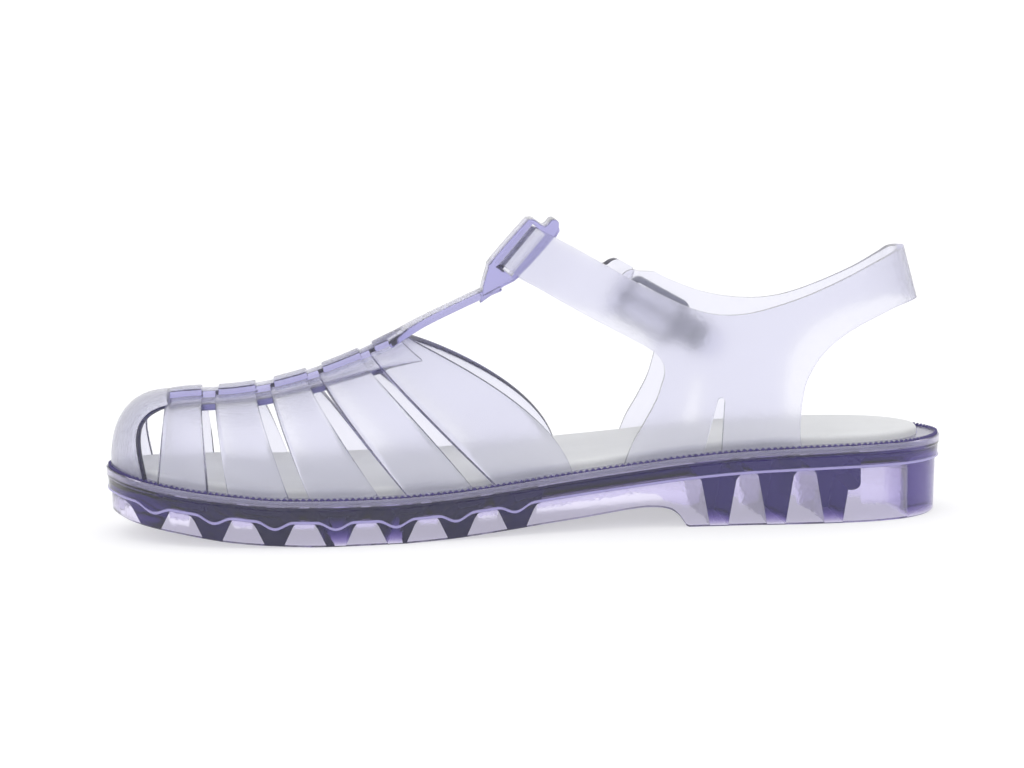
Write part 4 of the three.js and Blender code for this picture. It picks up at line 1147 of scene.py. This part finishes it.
# Lightly frosted, so that what lies behind shows as a soft shade
upper_pvc = clear_pvc("moulded_clear_pvc_frosted", 0.97, 0.21, "#FAFAFD",
                      76.0, "#A5A3DD", 900.0, 0.15)
# Glossy and deeper lilac: thick plate and ribs turn violet, the thin side wall stays clear
sole_pvc = clear_pvc("moulded_clear_pvc_sole", 0.97, 0.06, "#F6F4FF",
                     98.0, "#9579CC", 800.0, 0.25)
# Seen along the wall the light has come a long way through the stuff, so the edges look deeper;
# that depth is painted shade, put into a deeper lilac, less clear copy of the upper's PVC on its
# rims and cut faces
edge_painted_shade_pvc = clear_pvc("moulded_clear_pvc_edge_painted_shade", 0.95, 0.12, "#DFDCF3",
                     72.0, "#A5A3DD", 900.0, 0.1)
# The raised line catches the light from all sides and shows as a pale lilac thread; that pale
# lilac is a painted highlight, put into a half opaque, light base colour of the line
line_painted_highlight_pvc = clear_pvc("moulded_clear_pvc_line_painted_highlight", 0.35, 0.1, "#B9B2E6",
                     75.0, "#9C83CF", 900.0, 0.1)
# Teeth stand close and scatter the light, so that their row looks dark violet; that dark violet is
# painted shade, put into a half opaque, dark base colour of the teeth
welt_painted_shade_pvc = clear_pvc("moulded_clear_pvc_welt_painted_shade", 0.4, 0.15, "#5A5090",
                     900.0, "#7C68B4", 900.0, 0.1)
metal = plated_zinc()

let_light_through(dress(make_outsole(), "clear_outsole", sole_pvc, "outsole"))
let_light_through(dress(make_welt(), "serrated_welt", welt_painted_shade_pvc))
let_light_through(dress(make_wave_line(), "wave_line", line_painted_highlight_pvc))
let_light_through(dress(make_upper(), "clear_upper", upper_pvc, "upper",
                       edge=edge_painted_shade_pvc))
footbed = dress(make_insole(), "cloth_insole", footbed_cloth(), "insole")
# Firm foam under tightly drawn cloth
dress(rounded_copy("buckle_frame", 0.35), "metal_frame", metal, "buckle_frame")
dress(rounded_copy("buckle_prong", 0.2), "metal_prong", metal, "buckle_prong")
dress(rounded_copy("buckle_clip", 0.12), "metal_clip", metal, "buckle_clip")


# Floor and light

def make_floor():
    """Large pale floor: a white acrylic table that is lit from below."""
    bm = bmesh.new()
    bmesh.ops.create_grid(bm, x_segments=1, y_segments=1, size=40000.0)
    floor = piece("floor", bm)
    material, tree = new_material("lit_white_acrylic")
    place = add_node(tree, "ShaderNodeTexCoord").outputs["Object"]
    # Satin surface, uneven in spots of 2.5 mm
    grain = add_node(tree, "ShaderNodeTexNoise", [("Vector", place)], [("Scale", 400.0)])
    relief = add_node(tree, "ShaderNodeBump", [("Height", grain.outputs["Fac"])],
                      [("Strength", 0.05), ("Distance", 0.0001)])
    body = add_node(tree, "ShaderNodeBsdfPrincipled", [("Normal", relief.outputs["Normal"])],
                    [("Base Color", srgb("#C4C4C6")), ("Roughness", 0.9),
                     ("Emission Color", srgb("#FFFFFF")), ("Emission Strength", 0.48)])
    add_node(tree, "ShaderNodeOutputMaterial", [("Surface", body.outputs["BSDF"])])
    floor.data.materials[FACE_SLOT] = floor.data.materials[EDGE_SLOT] = material


def add_softbox(name, place, aim, size, power):
    """Rectangular light that looks at a point, in metres and watts."""
    data = bpy.data.lights.new(name, 'AREA')
    data.shape = 'RECTANGLE'
    data.size, data.size_y = size
    data.energy = power
    light = bpy.data.objects.new(name, data)
    direction = Vector(aim) - Vector(place)
    light.rotation_euler = direction.to_track_quat('-Z', 'Y').to_euler()
    light.location = place
    scene.collection.objects.link(light)


def light_room(strength):
    """Evenly white room."""
    world = bpy.data.worlds.new("studio")
    world.use_nodes = True
    background = world.node_tree.nodes["Background"]
    background.inputs["Color"].default_value = srgb("#FFFFFF")
    background.inputs["Strength"].default_value = strength
    scene.world = world


make_floor()
light_room(1.04)
add_softbox("top_softbox", (-0.2, -0.3, 1.6), (0, 0, 0.03), (1.6, 1.2), 3)
add_softbox("front_softbox", (-0.9, -1.6, 0.9), (0, 0, 0.04), (0.9, 0.7), 1)
scene.view_settings.view_transform = 'Standard'
